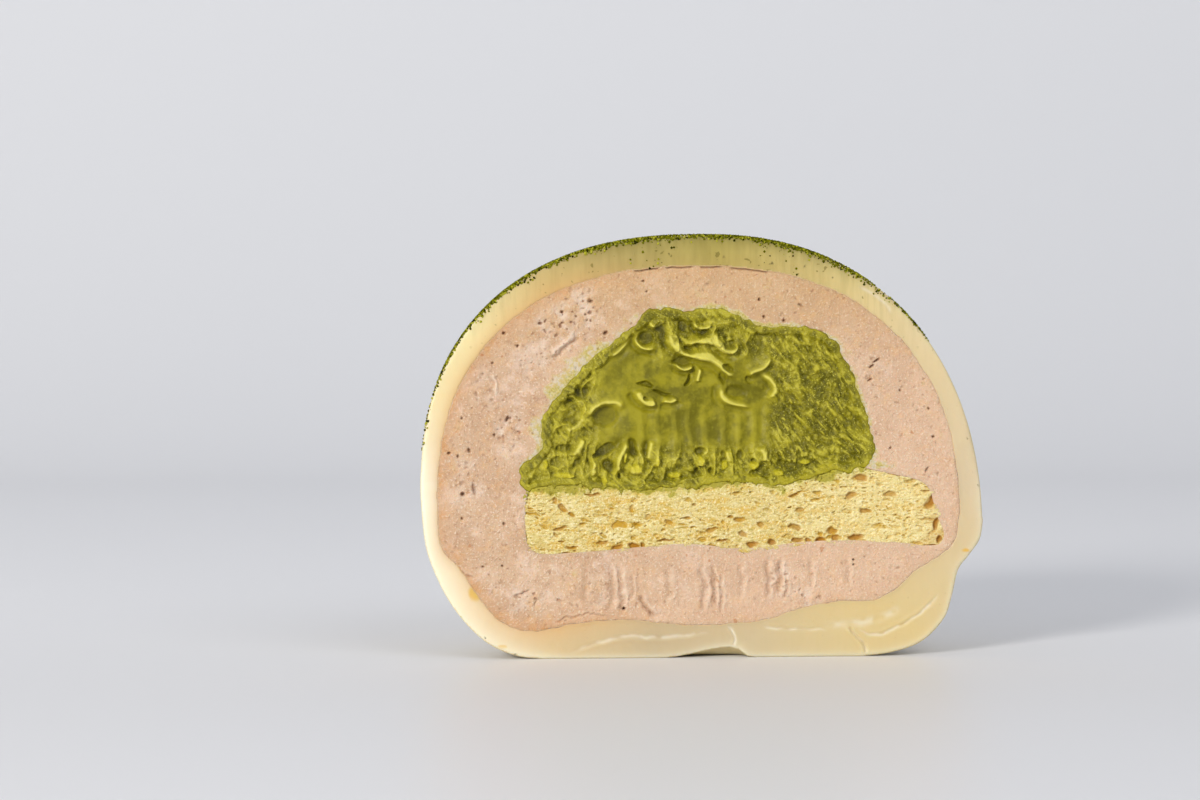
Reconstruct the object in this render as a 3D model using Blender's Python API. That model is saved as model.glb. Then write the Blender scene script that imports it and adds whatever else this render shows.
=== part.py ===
"""Half of a filled mochi rice cake, standing on its own base with the cut side to the front.

Four solids: the rice skin with its gathered foot, the pink cream inside it, and in the cream a slab
of sponge cake under a mound of green paste. Metres, +Z up. The cut faces -Y and the base lies at Z 0.
Each solid is a half turn: the profile on the right of the cut swings round the back and blends into
another one on the left. Profile points are (distance from the axis, height) in millimetres.
"""

import math

import bmesh
import bpy
from mathutils import Vector, geometry

MM = 0.001

# Driving sizes of the whole piece, in millimetres
HALF_WIDTH = 35.1
HEIGHT = 52.5
DEPTH_SHARE = 0.98          # the back is a little flatter than the sides
GAP = 0.3                   # clearance between neighbouring solids

# Outside of the skin: a dome (half width, height of its widest place, exponent) down to where the flank
# takes over, then the base. On the right the cut runs through a fold, which leaves a shoulder and a
# notch under it, and which closes behind the cut.
SKIN_DOME = {
    "right": (HALF_WIDTH, 14.0, 2.25),
    "behind": (HALF_WIDTH, 17.0, 2.3),
    "left": (HALF_WIDTH, 20.5, 2.36),
}
SKIN_FLANK = {
    "right": [(35.1, 16.8), (34.7, 14.5), (33.3, 12.5), (32.0, 10.7), (31.2, 7.4), (30.2, 4.6), (27.4, 1.8),
              (23.8, 0.5), (20.0, 0.0)],
    "behind": [(34.8, 13.0), (33.6, 8.8), (31.8, 5.6), (28.9, 2.9), (26.0, 1.3), (23.0, 0.35), (20.0, 0.0)],
    "left": [(34.5, 14.2), (32.9, 9.7), (30.9, 6.2), (28.4, 3.3), (26.0, 1.5), (23.0, 0.35), (20.0, 0.0)],
}

# Where the skin meets the cream
CREAM_HEIGHT = 48.6
CREAM_DOME = {"right": (32.0, 17.6, 2.3), "left": (32.9, 19.5, 2.4)}
CREAM_FLANK = {
    "right": [(31.6, 14.6), (30.0, 12.8), (26.4, 10.7), (24.2, 8.6), (21.6, 7.2), (17.0, 7.0), (12.0, 6.2),
              (7.5, 4.7), (0.0, 4.15)],
    "left": [(32.6, 14.4), (30.0, 10.9), (26.8, 6.3), (24.2, 4.2), (21.4, 3.5), (16.0, 4.4), (11.0, 4.9),
             (5.4, 4.5), (0.0, 4.15)],
}

NOTCH_REACH = 55.0          # azimuth in degrees where the fold has closed

# The filling turns about an axis a little to the right of the middle
FILLING_X = 3.9
SPONGE_TOP = {              # from the axis out to the foot of the paste
    "right": [(0.0, 22.3), (5.0, 21.9), (8.2, 22.3), (10.7, 23.1), (14.5, 23.8), (16.4, 23.9)],
    "left": [(0.0, 22.3), (5.5, 21.9), (10.5, 21.3), (14.5, 21.3), (18.0, 21.8), (22.0, 21.9), (26.0, 21.2)],
}
SPONGE_END = {              # from the foot of the paste round the end of the slab
    "right": [(16.4, 23.9), (20.0, 23.1), (23.5, 22.2), (25.0, 20.6), (25.8, 17.8), (26.7, 15.2),
              (25.8, 13.6), (23.5, 13.4)],
    "left": [(26.0, 21.2), (26.4, 19.3), (26.4, 16.5), (26.2, 14.4), (25.0, 12.9), (23.0, 12.6)],
}
SPONGE_UNDER = {            # and back to the axis
    "right": [(23.5, 13.4), (20.7, 13.8), (14.5, 14.1), (8.2, 13.9), (3.5, 13.3), (0.0, 13.2)],
    "left": [(23.0, 12.6), (16.8, 13.0), (11.8, 13.4), (6.8, 13.8), (3.5, 13.6), (0.0, 13.2)],
}
MOUND = {                   # outside of the paste, from its top down to just above the sponge
    "right": [(0.0, 42.6), (1.4, 41.6), (3.4, 40.7), (7.0, 40.7), (10.0, 40.0), (12.2, 38.4), (13.8, 34.8),
              (15.6, 30.4), (17.2, 26.0)],
    "left": [(0.0, 42.6), (2.4, 43.3), (6.8, 42.9), (10.5, 43.2), (12.4, 41.4), (16.8, 37.7), (22.8, 31.6),
             (23.7, 29.4), (23.8, 26.2), (26.4, 23.4)],
}

# Gathers of the skin round the foot: azimuth in degrees where each leaves the base, how far it leans
# on the way up, its depth and its width in millimetres
GATHERS = [(24, 16, 1.1, 3.8), (52, -14, 1.6, 3.4), (83, 20, 1.1, 4.0), (112, 12, 1.7, 3.6),
           (143, -18, 1.3, 3.8), (166, 8, 0.7, 3.4)]
GATHER_HEIGHT = 9.0         # how far up the flank they fade
GATHER_RAMP = 8.0           # how soon they deepen away from the cut and from the flat middle
GATHER_LIP = 0.5            # the lip beside each one, as a share of its depth
GATHER_LIP_AWAY = 1.6       # and how far off it stands, in widths
GROOVE_LIFT = 0.5           # how far a gather 1 mm deep lifts the edge of the base
GROOVE_WIDTH = 0.6          # in widths of the gather
FLAT_RADIUS = 12.0          # the base lies flat within this distance of the axis, the pinch apart
BASE_ROUNDING = 2.0         # how far above the base its lifts have died out

# The pinched middle of the base: where it peaks, and how far it reaches each way
PINCH_X = 3.7
PINCH_HEIGHT = 1.35
PINCH_LEFT = 9.0
PINCH_RIGHT = 2.3
PINCH_BACK = 6.0

# Curls that the knife tore up in the cut side of the paste, each a bend through three (x, height)
# points, then how far it stands up and its width, in millimetres
CURLS = [
    ((-8.0, 40.0), (-3.2, 35.0), (5.0, 35.5), 0.75, 1.3),
    ((-1.5, 38.6), (2.5, 39.5), (7.5, 38.4), 0.6, 1.2),
    ((1.5, 35.6), (5.0, 33.4), (10.0, 36.6), 0.7, 1.2),
    ((-17.5, 33.0), (-14.5, 28.5), (-9.5, 29.6), 0.6, 1.5),
    ((-8.5, 34.0), (-6.0, 29.8), (-2.2, 33.0), 0.7, 1.2),
    ((-17.0, 26.5), (-15.5, 23.8), (-14.8, 22.6), 0.6, 1.3),
    ((-12.0, 27.5), (-11.4, 24.6), (-9.0, 23.4), 0.7, 1.4),
    ((3.6, 34.0), (6.5, 30.6), (10.8, 32.8), 0.5, 1.4),
]
CURL_STEPS = 12
STREAKS = {"from": -8.0, "to": 8.0, "pitch": 2.3, "low": 23.5, "high": 32.0, "depth": 0.35}
PASTE_SINK = 0.9            # how far the soft paste lies behind the cut, between its curls
PASTE_SPACING = 1.3

# How finely each surface is divided: the legs of its profile, then the half turn
SKIN_STEPS = {"dome": 14, "flank": 16, "base": 5, "round": 44}
CREAM_STEPS = {"dome": 13, "flank": 18, "round": 20}
FILLING_STEPS = {"mound": 13, "top": 7, "end": 7, "under": 5, "round": 18}


def clear_scene():
    for leftover in list(bpy.data.objects):
        bpy.data.objects.remove(leftover, do_unlink=True)


def make_material(name, colour, roughness):
    material = bpy.data.materials.new(name)
    material.use_nodes = True
    shader = material.node_tree.nodes["Principled BSDF"]
    shader.inputs["Base Color"].default_value = (*colour, 1.0)
    shader.inputs["Roughness"].default_value = roughness
    shader.inputs["Metallic"].default_value = 0.0
    return material


def smooth_step(value):
    value = min(max(value, 0.0), 1.0)
    return value * value * (3 - 2 * value)


def bell(value):
    return math.exp(-value * value)


def catmull_rom(before, start, end, after, share):
    """A point between start and end on the smooth curve through all four."""
    squared = share * share
    cubed = squared * share
    return (
        start * (1 - 2.5 * squared + 1.5 * cubed)
        + end * (0.5 * share + 2 * squared - 1.5 * cubed)
        - before * (0.5 * share - squared + 0.5 * cubed)
        - after * 0.5 * (squared - cubed)
    )


def beyond(end, neighbour):
    """A point past the end of a leg: its mirror image on the axis, or straight on elsewhere."""
    return Vector((-neighbour.x, neighbour.y)) if end.x == 0 else 2 * end - neighbour


def smooth_leg(points, count, fineness=12):
    """count + 1 evenly spaced points on the smooth curve through the given ones."""
    given = [Vector(point) for point in points]
    padded = [beyond(given[0], given[1]), *given, beyond(given[-1], given[-2])]
    fine = [given[0]]
    for number in range(len(given) - 1):
        four = padded[number : number + 4]
        fine += [catmull_rom(*four, step / fineness) for step in range(1, fineness + 1)]
    reach = [0.0]
    for first, second in zip(fine, fine[1:]):
        reach.append(reach[-1] + (second - first).length)
    leg, spot = [], 0
    for number in range(count + 1):
        wanted = reach[-1] * number / count
        while spot < len(fine) - 2 and reach[spot + 1] < wanted:
            spot += 1
        share = (wanted - reach[spot]) / (reach[spot + 1] - reach[spot])
        leg.append(fine[spot].lerp(fine[spot + 1], share))
    return leg


def dome_arc(half_width, widest, exponent, top, steps=12):
    """A quarter of a superellipse, from the top on the axis down to the widest place."""
    arc = []
    for step in range(steps + 1):
        turn = math.pi / 2 * step / steps
        out = half_width * math.sin(turn) ** (2 / exponent)
        arc.append((out, widest + (top - widest) * max(math.cos(turn), 0.0) ** (2 / exponent)))
    return arc


def dome_and_flank(dome, flank, top, steps):
    """The profile down to the end of the flank, with a row of its own at the widest place."""
    arc = [point for point in dome_arc(*dome, top) if point[1] > flank[0][1]]
    whole = smooth_leg(arc + flank, 4 * (steps["dome"] + steps["flank"]))
    widest = max(range(len(whole)), key=lambda number: whole[number].x)
    return smooth_leg(whole[: widest + 1], steps["dome"]) + smooth_leg(whole[widest:], steps["flank"])[1:]


def skin_profile(side):
    flank = SKIN_FLANK[side]
    profile = dome_and_flank(SKIN_DOME[side], flank, HEIGHT, SKIN_STEPS)
    steps = SKIN_STEPS["base"]
    return profile + [Vector((flank[-1][0] * (1 - step / steps), 0.0)) for step in range(1, steps + 1)]


def cream_profile(side):
    return dome_and_flank(CREAM_DOME[side], CREAM_FLANK[side], CREAM_HEIGHT, CREAM_STEPS)


def sponge_top(side):
    return smooth_leg(SPONGE_TOP[side], FILLING_STEPS["top"])


def sponge_edge(side):
    end = smooth_leg(SPONGE_END[side], FILLING_STEPS["end"])
    return end + smooth_leg(SPONGE_UNDER[side], FILLING_STEPS["under"])[1:]


def mound(side):
    """The outside of the paste. It ends a gap above the sponge."""
    foot_out, foot_height = SPONGE_TOP[side][-1]
    return smooth_leg(MOUND[side] + [(foot_out, foot_height + GAP)], FILLING_STEPS["mound"])


def sponge_profile(side):
    return sponge_top(side) + sponge_edge(side)[1:]


def paste_profile(side):
    lifted = [point + Vector((0.0, GAP)) for point in sponge_top(side)]
    return mound(side) + lifted[-2::-1]


def pocket_profile(side):
    """The hollow in the cream: the paste and the sponge together, with a gap round them."""
    return grown(mound(side) + sponge_edge(side)[1:], GAP)


def grown(profile, distance):
    """The profile moved outwards by distance. Its two ends stay on the axis."""
    moved = []
    for number, point in enumerate(profile):
        along = profile[min(number + 1, len(profile) - 1)] - profile[max(number - 1, 0)]
        outwards = Vector((-along.y, along.x)).normalized()
        if point.x == 0:
            outwards = Vector((0.0, 1.0 if number == 0 else -1.0))
        moved.append(Vector((max(point.x + outwards.x * distance, 0.0), point.y + outwards.y * distance)))
    return moved


def filling_blend(azimuth):
    """How much of each side's profile there is at an azimuth, from 0 on the right to pi on the left."""
    right = (1 + math.cos(azimuth)) / 2
    return {"right": right, "left": 1 - right}


def skin_blend(azimuth):
    sides = filling_blend(azimuth)
    behind = sides["right"] * smooth_step(azimuth / math.radians(NOTCH_REACH))
    return {"right": sides["right"] - behind, "behind": behind, "left": sides["left"]}


def half_turn(mesh, profile, axis_x, steps, blend=filling_blend, shape=None):
    """Swings the profile from the right, round the back, to the left. Gives its outline at the cut."""
    profiles = {side: profile(side) for side in blend(0.0)}
    last = len(profiles["right"]) - 1

    def vertex(row, azimuth):
        parts = [profiles[side][row] * share for side, share in blend(azimuth).items()]
        out, height = sum(parts, Vector((0.0, 0.0)))
        place = Vector((axis_x + out * math.cos(azimuth), out * math.sin(azimuth) * DEPTH_SHARE, height))
        return mesh.verts.new((shape(place, azimuth) if shape else place) * MM)

    top, bottom = vertex(0, 0.0), vertex(last, 0.0)
    azimuths = [math.pi * step / steps["round"] for step in range(steps["round"] + 1)]
    columns = [[vertex(row, azimuth) for row in range(1, last)] for azimuth in azimuths]
    for column, following in zip(columns, columns[1:]):
        mesh.faces.new((top, column[0], following[0]))
        mesh.faces.new((bottom, following[-1], column[-1]))
        for row in range(last - 2):
            mesh.faces.new((column[row], column[row + 1], following[row + 1], following[row]))
    return [top, *columns[0], bottom, *reversed(columns[-1])]


def inside(x, z, outline):
    """Whether a point of the cut side lies in an outline, by counting the edges to its right."""
    found = False
    for (ax, az), (bx, bz) in zip(outline, outline[1:] + outline[:1]):
        if (az > z) != (bz > z) and x < ax + (bx - ax) * (z - az) / (bz - az):
            found = not found
    return found


def rows_of_points(outline, spacing):
    """Points inside an outline, in rows half a step apart, clear of its edge."""
    low_x, high_x = min(x for x, z in outline), max(x for x, z in outline)
    low_z, high_z = min(z for x, z in outline), max(z for x, z in outline)
    row_height = spacing * math.sqrt(3) / 2
    points = []
    for row in range(int((high_z - low_z) / row_height) + 1):
        z = low_z + row * row_height
        for column in range(int((high_x - low_x) / spacing) + 1):
            x = low_x + (column + 0.5 * (row % 2)) * spacing
            nearest = min(math.hypot(x - edge_x, z - edge_z) for edge_x, edge_z in outline)
            if nearest > 0.55 * spacing and inside(x, z, outline):
                points.append(Vector((x, z)))
    return points


def close_cut(mesh, edge, hole=(), spacing=None, relief=None):
    """Fills the cut side between an edge and a hole. With a spacing it also gets rows of points, which
    lie as far behind the cut as relief(x, z) says."""
    loops = [loop for loop in (edge, hole) if loop]
    outlines = [[(v.co.x / MM, v.co.z / MM) for v in loop] for loop in loops]
    corners = [vertex for loop in loops for vertex in loop]
    flat = [Vector(point) for outline in outlines for point in outline]
    edges = []
    for outline in outlines:
        first = len(edges)
        edges += [(first + n, first + (n + 1) % len(outline)) for n in range(len(outline))]
    if spacing:
        for point in rows_of_points(outlines[0], spacing):
            flat.append(point)
            corners.append(mesh.verts.new(Vector((point.x, relief(point.x, point.y), point.y)) * MM))
    points, _, faces, sources, _, _ = geometry.delaunay_2d_cdt(flat, edges, [], 0, 1e-6)
    for face in faces:
        middle = sum((points[n] for n in face), Vector((0.0, 0.0))) / len(face)
        in_edge, *in_hole = (inside(middle.x, middle.y, outline) for outline in outlines)
        if in_edge and not any(in_hole):
            mesh.faces.new([corners[sources[n][0]] for n in face])


def finish_solid(name, mesh, material, stand):
    """Turns the finished bmesh into a smooth-shaded object under the stand."""
    bmesh.ops.recalc_face_normals(mesh, faces=mesh.faces)
    bmesh.ops.triangulate(mesh, faces=[face for face in mesh.faces if len(face.verts) > 3])
    data = bpy.data.meshes.new(name)
    mesh.to_mesh(data)
    mesh.free()
    data.materials.append(material)
    data.shade_smooth()
    data.set_sharp_from_angle(angle=math.radians(50))
    solid = bpy.data.objects.new(name, data)
    solid.parent = stand
    bpy.context.scene.collection.objects.link(solid)


def pinch(x, y):
    """How high the pinched middle lifts the base here."""
    reach = PINCH_LEFT if x < PINCH_X else PINCH_RIGHT
    return PINCH_HEIGHT * smooth_step(1 - abs(x - PINCH_X) / reach) * bell(y / PINCH_BACK)


def gathered(place, azimuth):
    """Folds the skin in at each gather low on the flank, and lifts the base along it."""
    x, y, z = place
    out = math.hypot(x, y)
    fold, groove = 0.0, 0.0
    for start, lean, depth, width in GATHERS:
        crease = math.radians(start + lean * z / GATHER_HEIGHT)
        across = (azimuth - crease) * out / width
        fold += depth * (GATHER_LIP * bell(across - GATHER_LIP_AWAY) - bell(across))
        groove += depth * bell(across / GROOVE_WIDTH)
    away = smooth_step((out - FLAT_RADIUS) / GATHER_RAMP) * smooth_step(y / GATHER_RAMP)
    grow = 1 + fold * away * bell(z / GATHER_HEIGHT) / max(out, 1.0)
    lift = (GROOVE_LIFT * groove * away + pinch(x, y)) * (1 - smooth_step(z / BASE_ROUNDING))
    return Vector((x * grow, y * grow, z + lift))


def curl_relief(x, z):
    """How far the paste lies behind the cut: the sink, less the nearest curl, plus the upright streaks."""
    height = 0.0
    for start, bend, end, peak, width in CURLS:
        nearest = math.inf
        for step in range(CURL_STEPS + 1):
            share = step / CURL_STEPS
            weights = ((1 - share) ** 2, 2 * share * (1 - share), share**2)
            curl_x = sum(weight * point[0] for weight, point in zip(weights, (start, bend, end)))
            curl_z = sum(weight * point[1] for weight, point in zip(weights, (start, bend, end)))
            nearest = min(nearest, math.hypot(x - curl_x, z - curl_z))
        height = max(height, peak * bell(nearest / width))
    band = smooth_step((x - STREAKS["from"]) / 2) * smooth_step((STREAKS["to"] - x) / 2)
    band *= smooth_step((z - STREAKS["low"]) / 2) * smooth_step((STREAKS["high"] - z) / 2)
    wave = 0.5 - 0.5 * math.cos(2 * math.pi * (x - STREAKS["from"]) / STREAKS["pitch"])
    return PASTE_SINK - height + STREAKS["depth"] * wave * band


def make_skin(stand):
    """The rice skin, with the hollow that the cream fills."""
    mesh = bmesh.new()
    edge = half_turn(mesh, skin_profile, 0.0, SKIN_STEPS, skin_blend, gathered)
    hole = half_turn(mesh, lambda side: grown(cream_profile(side), GAP / 2), 0.0, CREAM_STEPS)
    close_cut(mesh, edge, hole)
    finish_solid("mochi_skin", mesh, make_material("rice_skin", (0.78, 0.64, 0.39), 0.5), stand)


def make_cream(stand):
    """The pink cream, with the pocket that the paste and the sponge fill."""
    mesh = bmesh.new()
    edge = half_turn(mesh, lambda side: grown(cream_profile(side), -GAP / 2), 0.0, CREAM_STEPS)
    pocket = half_turn(mesh, pocket_profile, FILLING_X, FILLING_STEPS)
    close_cut(mesh, edge, pocket)
    finish_solid("pink_cream", mesh, make_material("pink_cream", (0.76, 0.52, 0.34), 0.55), stand)


def make_sponge(stand):
    """The slab of sponge cake, half a disc with soft edges."""
    mesh = bmesh.new()
    close_cut(mesh, half_turn(mesh, sponge_profile, FILLING_X, FILLING_STEPS))
    finish_solid("sponge_cake", mesh, make_material("sponge_crumb", (0.79, 0.62, 0.24), 0.85), stand)


def make_paste(stand):
    """The mound of green paste on the sponge, with curls torn up in its cut side."""
    mesh = bmesh.new()
    edge = half_turn(mesh, paste_profile, FILLING_X, FILLING_STEPS)
    close_cut(mesh, edge, spacing=PASTE_SPACING, relief=curl_relief)
    finish_solid("green_paste", mesh, make_material("green_paste", (0.31, 0.27, 0.03), 0.35), stand)


def main():
    clear_scene()
    stand = bpy.data.objects.new("stand", None)
    stand.location = (0.0, -HALF_WIDTH * DEPTH_SHARE / 2 * MM, 0.0)
    bpy.context.scene.collection.objects.link(stand)
    make_skin(stand)
    make_cream(stand)
    make_sponge(stand)
    make_paste(stand)


main()
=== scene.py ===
# Looks of half a filled rice cake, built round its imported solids. The tables are in millimetres.
import math

import bpy
import numpy as np
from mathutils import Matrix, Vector, geometry


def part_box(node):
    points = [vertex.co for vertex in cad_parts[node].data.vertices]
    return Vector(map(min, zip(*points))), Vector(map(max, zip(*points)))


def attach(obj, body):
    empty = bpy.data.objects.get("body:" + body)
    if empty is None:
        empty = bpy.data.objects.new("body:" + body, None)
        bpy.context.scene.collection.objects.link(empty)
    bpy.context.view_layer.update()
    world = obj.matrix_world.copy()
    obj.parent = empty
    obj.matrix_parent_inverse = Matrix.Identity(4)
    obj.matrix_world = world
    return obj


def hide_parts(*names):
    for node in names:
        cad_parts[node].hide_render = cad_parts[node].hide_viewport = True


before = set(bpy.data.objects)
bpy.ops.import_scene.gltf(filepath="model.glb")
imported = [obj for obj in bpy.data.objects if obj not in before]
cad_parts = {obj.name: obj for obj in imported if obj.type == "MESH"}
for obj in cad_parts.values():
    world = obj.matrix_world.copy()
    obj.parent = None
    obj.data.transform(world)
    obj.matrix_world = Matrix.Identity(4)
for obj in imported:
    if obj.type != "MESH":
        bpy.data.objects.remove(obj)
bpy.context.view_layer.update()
mm = 0.001
skinLow, skinHigh = (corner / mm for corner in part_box("mochi_skin"))
cakeWidth = skinHigh.x - skinLow.x
cutY = skinLow.y
print("frame loaded, cake", round(cakeWidth, 1), "mm wide")


# number helpers: they all work on whole arrays of places on the cut

def smoothStep(value):
    value = np.clip(value, 0.0, 1.0)
    return value * value * (3 - 2 * value)


def bell(value):
    return np.exp(-value * value)


def scatter(column, row, seed):
    # a fixed random number between 0 and 1 for every cell of a lattice
    mixed = (column * 374761393 + row * 668265263 + seed * 974634777) & 0xFFFFFFFF
    mixed = ((mixed ^ (mixed >> 13)) * 1274126177) & 0xFFFFFFFF
    return ((mixed ^ (mixed >> 16)) & 0xFFFF) / 65535.0


def grain(x, z, size, seed, stretch=1.0):
    # smooth noise from -1 to 1 with lumps of that size, stretched along z
    u, v = x / size, z / (size * stretch)
    column, row = np.floor(u).astype(np.int64), np.floor(v).astype(np.int64)
    across, up = smoothStep(u - column), smoothStep(v - row)
    low = scatter(column, row, seed) * (1 - across) + scatter(column + 1, row, seed) * across
    high = scatter(column, row + 1, seed) * (1 - across) + scatter(column + 1, row + 1, seed) * across
    return 2 * (low * (1 - up) + high * up) - 1


def cloud(x, z, size, seed, layers=3, stretch=1.0):
    total, weight = 0.0, 0.0
    for layer in range(layers):
        share = 0.5**layer
        # each layer is turned a little, so that no lattice shows
        turn = 0.6 + 0.9 * layer
        turnedX = x * math.cos(turn) - z * math.sin(turn) if stretch == 1.0 else x + 3.7 * layer
        turnedZ = x * math.sin(turn) + z * math.cos(turn) if stretch == 1.0 else z + 1.3 * layer
        total = total + share * grain(turnedX, turnedZ, size * share, seed + 11 * layer, stretch)
        weight += share
    return total / weight


def crests(x, z, size, seed, layers=2):
    # sharp-topped folds, from 0 in the hollows to 1 on the tops
    return 1 - np.minimum(np.abs(cloud(x, z, size, seed, layers)) * 2.2, 1.0)


def holes(x, z, wide, high, share, seed, small=0.45, large=0.95):
    # one rounded hole in some cells of a lattice: 0 outside, 1 at its deepest
    warpX = x + 0.25 * wide * grain(x, z, wide * 0.7, seed + 5)
    warpZ = z + 0.25 * high * grain(x, z, wide * 0.7, seed + 6)
    column, row = np.floor(warpX / wide).astype(np.int64), np.floor(warpZ / high).astype(np.int64)
    deep = np.zeros_like(x)
    for sideways in (-1, 0, 1):
        for upwards in (-1, 0, 1):
            cellX, cellZ = column + sideways, row + upwards
            centreX = (cellX + 0.5 + 0.7 * (scatter(cellX, cellZ, seed + 1) - 0.5)) * wide
            centreZ = (cellZ + 0.5 + 0.7 * (scatter(cellX, cellZ, seed + 2) - 0.5)) * high
            radius = small + (large - small) * scatter(cellX, cellZ, seed + 3) ** 2
            away = np.hypot((warpX - centreX) / (0.5 * wide), (warpZ - centreZ) / (0.5 * high)) / radius
            there = scatter(cellX, cellZ, seed + 4) < share
            deep = np.maximum(deep, np.where(there, smoothStep((1 - away) * 1.8), 0.0))
    return deep


def dimple(x, z, place, size, tilt=0.0, scale=1.0):
    # a single hole: place and half sizes in millimetres, tilt in degrees
    turn = math.radians(tilt)
    awayX, awayZ = x - place[0], z - place[1]
    along = awayX * math.cos(turn) + awayZ * math.sin(turn)
    across = awayZ * math.cos(turn) - awayX * math.sin(turn)
    away = np.hypot(along / (scale * size[0]), across / (scale * size[1]))
    return smoothStep((1 - away) * 1.8)


def smoothLine(points, steps, mirrored=False):
    # a smooth line through a few chosen points; a mirrored one crosses the axis level
    given = [np.array(point, float) for point in points]

    def beyond(end, neighbour):
        return neighbour * [-1, 1] if mirrored and end[0] == 0 else 2 * end - neighbour

    padded = [beyond(given[0], given[1]), *given, beyond(given[-1], given[-2])]
    line = [given[0]]
    for number in range(len(given) - 1):
        four = padded[number : number + 4]
        line += [catmullRom(*four, step / steps) for step in range(1, steps + 1)]
    return np.array(line)


def catmullRom(before, start, end, after, share):
    squared, cubed = share * share, share**3
    return (
        start * (1 - 2.5 * squared + 1.5 * cubed)
        + end * (0.5 * share + 2 * squared - 1.5 * cubed)
        - before * (0.5 * share - squared + 0.5 * cubed)
        - after * 0.5 * (squared - cubed)
    )


def besideLine(x, z, points, reach):
    # how far each place is from a line, with a minus on its right-hand side, and how far along it is
    line = smoothLine(points, 8)
    distance, along = np.full(x.shape, 1e3), np.zeros(x.shape)
    low, high = line.min(0) - reach, line.max(0) + reach
    near = np.nonzero((x > low[0]) & (x < high[0]) & (z > low[1]) & (z < high[1]))[0]
    (startX, startZ), (stepX, stepZ) = line[:-1].T, np.diff(line, axis=0).T
    fromX, fromZ = x[near, None] - startX, z[near, None] - startZ
    place = np.clip((fromX * stepX + fromZ * stepZ) / (stepX**2 + stepZ**2), 0.0, 1.0)
    offX, offZ = fromX - place * stepX, fromZ - place * stepZ
    away = np.hypot(offX, offZ)
    nearest = np.arange(len(near)), away.argmin(1)
    side = np.where((stepX * offZ - stepZ * offX)[nearest] < 0, -1.0, 1.0)
    distance[near] = away[nearest] * side
    along[near] = (nearest[1] + place[nearest]) / len(stepX)
    return distance, along


def taper(along):
    # strokes fade at both ends
    return smoothStep(along / 0.2) * smoothStep((1 - along) / 0.2)


# turned shapes: a profile on the right swings round the back and blends into the one on the left

def smoothLeg(points, count):
    # a smooth line again, in that many even steps
    fine = smoothLine(points, 12, mirrored=True)
    reach = np.concatenate([[0.0], np.cumsum(np.hypot(*np.diff(fine, axis=0).T))])
    wanted = np.linspace(0.0, reach[-1], count + 1)
    return np.stack([np.interp(wanted, reach, fine[:, axis]) for axis in (0, 1)], 1)


def domeArc(halfWidth, widest, exponent, top):
    turns = np.linspace(0, math.pi / 2, 25)
    out = halfWidth * np.sin(turns) ** (2 / exponent)
    height = widest + (top - widest) * np.maximum(np.cos(turns), 0.0) ** (2 / exponent)
    return list(zip(out, height))


def domeAndFlank(dome, flank, top, steps):
    arc = [point for point in domeArc(*dome, top) if point[1] > flank[0][1]]
    whole = smoothLeg(arc + flank, 4 * (steps["dome"] + steps["flank"]))
    widest = int(np.argmax(whole[:, 0]))
    upper, lower = smoothLeg(whole[: widest + 1], steps["dome"]), smoothLeg(whole[widest:], steps["flank"])
    return np.vstack([upper, lower[1:]])


def outwardsFrom(profile):
    along = np.gradient(profile, axis=0)
    return np.stack([-along[:, 1], along[:, 0]], 1) / np.linalg.norm(along, axis=1)[:, None]


def grown(profile, distance):
    outwards = outwardsFrom(profile)
    outwards[0], outwards[-1] = (0.0, 1.0), (0.0, -1.0)
    moved = profile + outwards * distance
    moved[:, 0] = np.maximum(moved[:, 0], 0.0)
    return moved


def roughened(profile, side, seed, *lumps):
    # lumps of some heights and sizes along a profile, which leave its two ends on the axis
    signed = profile[:, 0] * (1 if side == "right" else -1)
    push = sum(amount * cloud(signed + 50.0, profile[:, 1], size, seed, 2) for amount, size in lumps)
    push = push * smoothStep(profile[:, 0] / 2.0)
    moved = profile + outwardsFrom(profile) * push[:, None]
    moved[[0, -1]] = profile[[0, -1]]
    return moved


def onAxis(profile):
    profile[[0, -1], 0] = 0.0
    return profile


def fillingBlend(azimuths):
    right = (1 + np.cos(azimuths)) / 2
    return {"right": right, "left": 1 - right}


def skinBlend(azimuths):
    sides = fillingBlend(azimuths)
    behind = sides["right"] * smoothStep(azimuths / math.radians(skinShape["notchReach"]))
    return {"right": sides["right"] - behind, "behind": behind, "left": sides["left"]}


def halfTurn(profile, axisX, columns, blend=fillingBlend, shape=None, squeeze=0.0):
    # gives the surface's places, its faces, and its outline at the cut as vertex numbers
    azimuths = np.linspace(0, math.pi, columns + 1)
    out, height = 0.0, 0.0
    for side, share in blend(azimuths).items():
        rows = profile(side)
        out = out + rows[:, :1] * share[None, :]
        height = height + rows[:, 1:] * share[None, :]
    x = axisX + out * np.cos(azimuths)
    y = out * np.sin(azimuths) * skinShape["depthShare"]
    z = height
    if shape:
        x, y, z = shape(x, y, z, np.broadcast_to(azimuths, out.shape))
    if squeeze:
        y = y + squeeze * np.exp(-y / (2 * squeeze))
    rows, count = out.shape
    inner = np.stack([x[1:-1], y[1:-1], z[1:-1]], 2).transpose(1, 0, 2).reshape(-1, 3)
    poles = np.array([[x[0, 0], y[0, 0], z[0, 0]], [x[-1, 0], y[-1, 0], z[-1, 0]]])
    places = np.vstack([poles, inner])
    numbers = 2 + np.arange(count * (rows - 2)).reshape(count, rows - 2)
    first, second = numbers[:-1], numbers[1:]
    a, b, c, d = first[:, :-1], first[:, 1:], second[:, 1:], second[:, :-1]
    faces = np.concatenate([
        np.stack([a, b, c], -1).reshape(-1, 3),
        np.stack([a, c, d], -1).reshape(-1, 3),
        np.stack([np.zeros(count - 1, int), first[:, 0], second[:, 0]], -1),
        np.stack([np.ones(count - 1, int), second[:, -1], first[:, -1]], -1),
    ])
    outline = np.concatenate([[0], numbers[0], [1], numbers[-1][::-1]])
    return places, faces, outline


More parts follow.
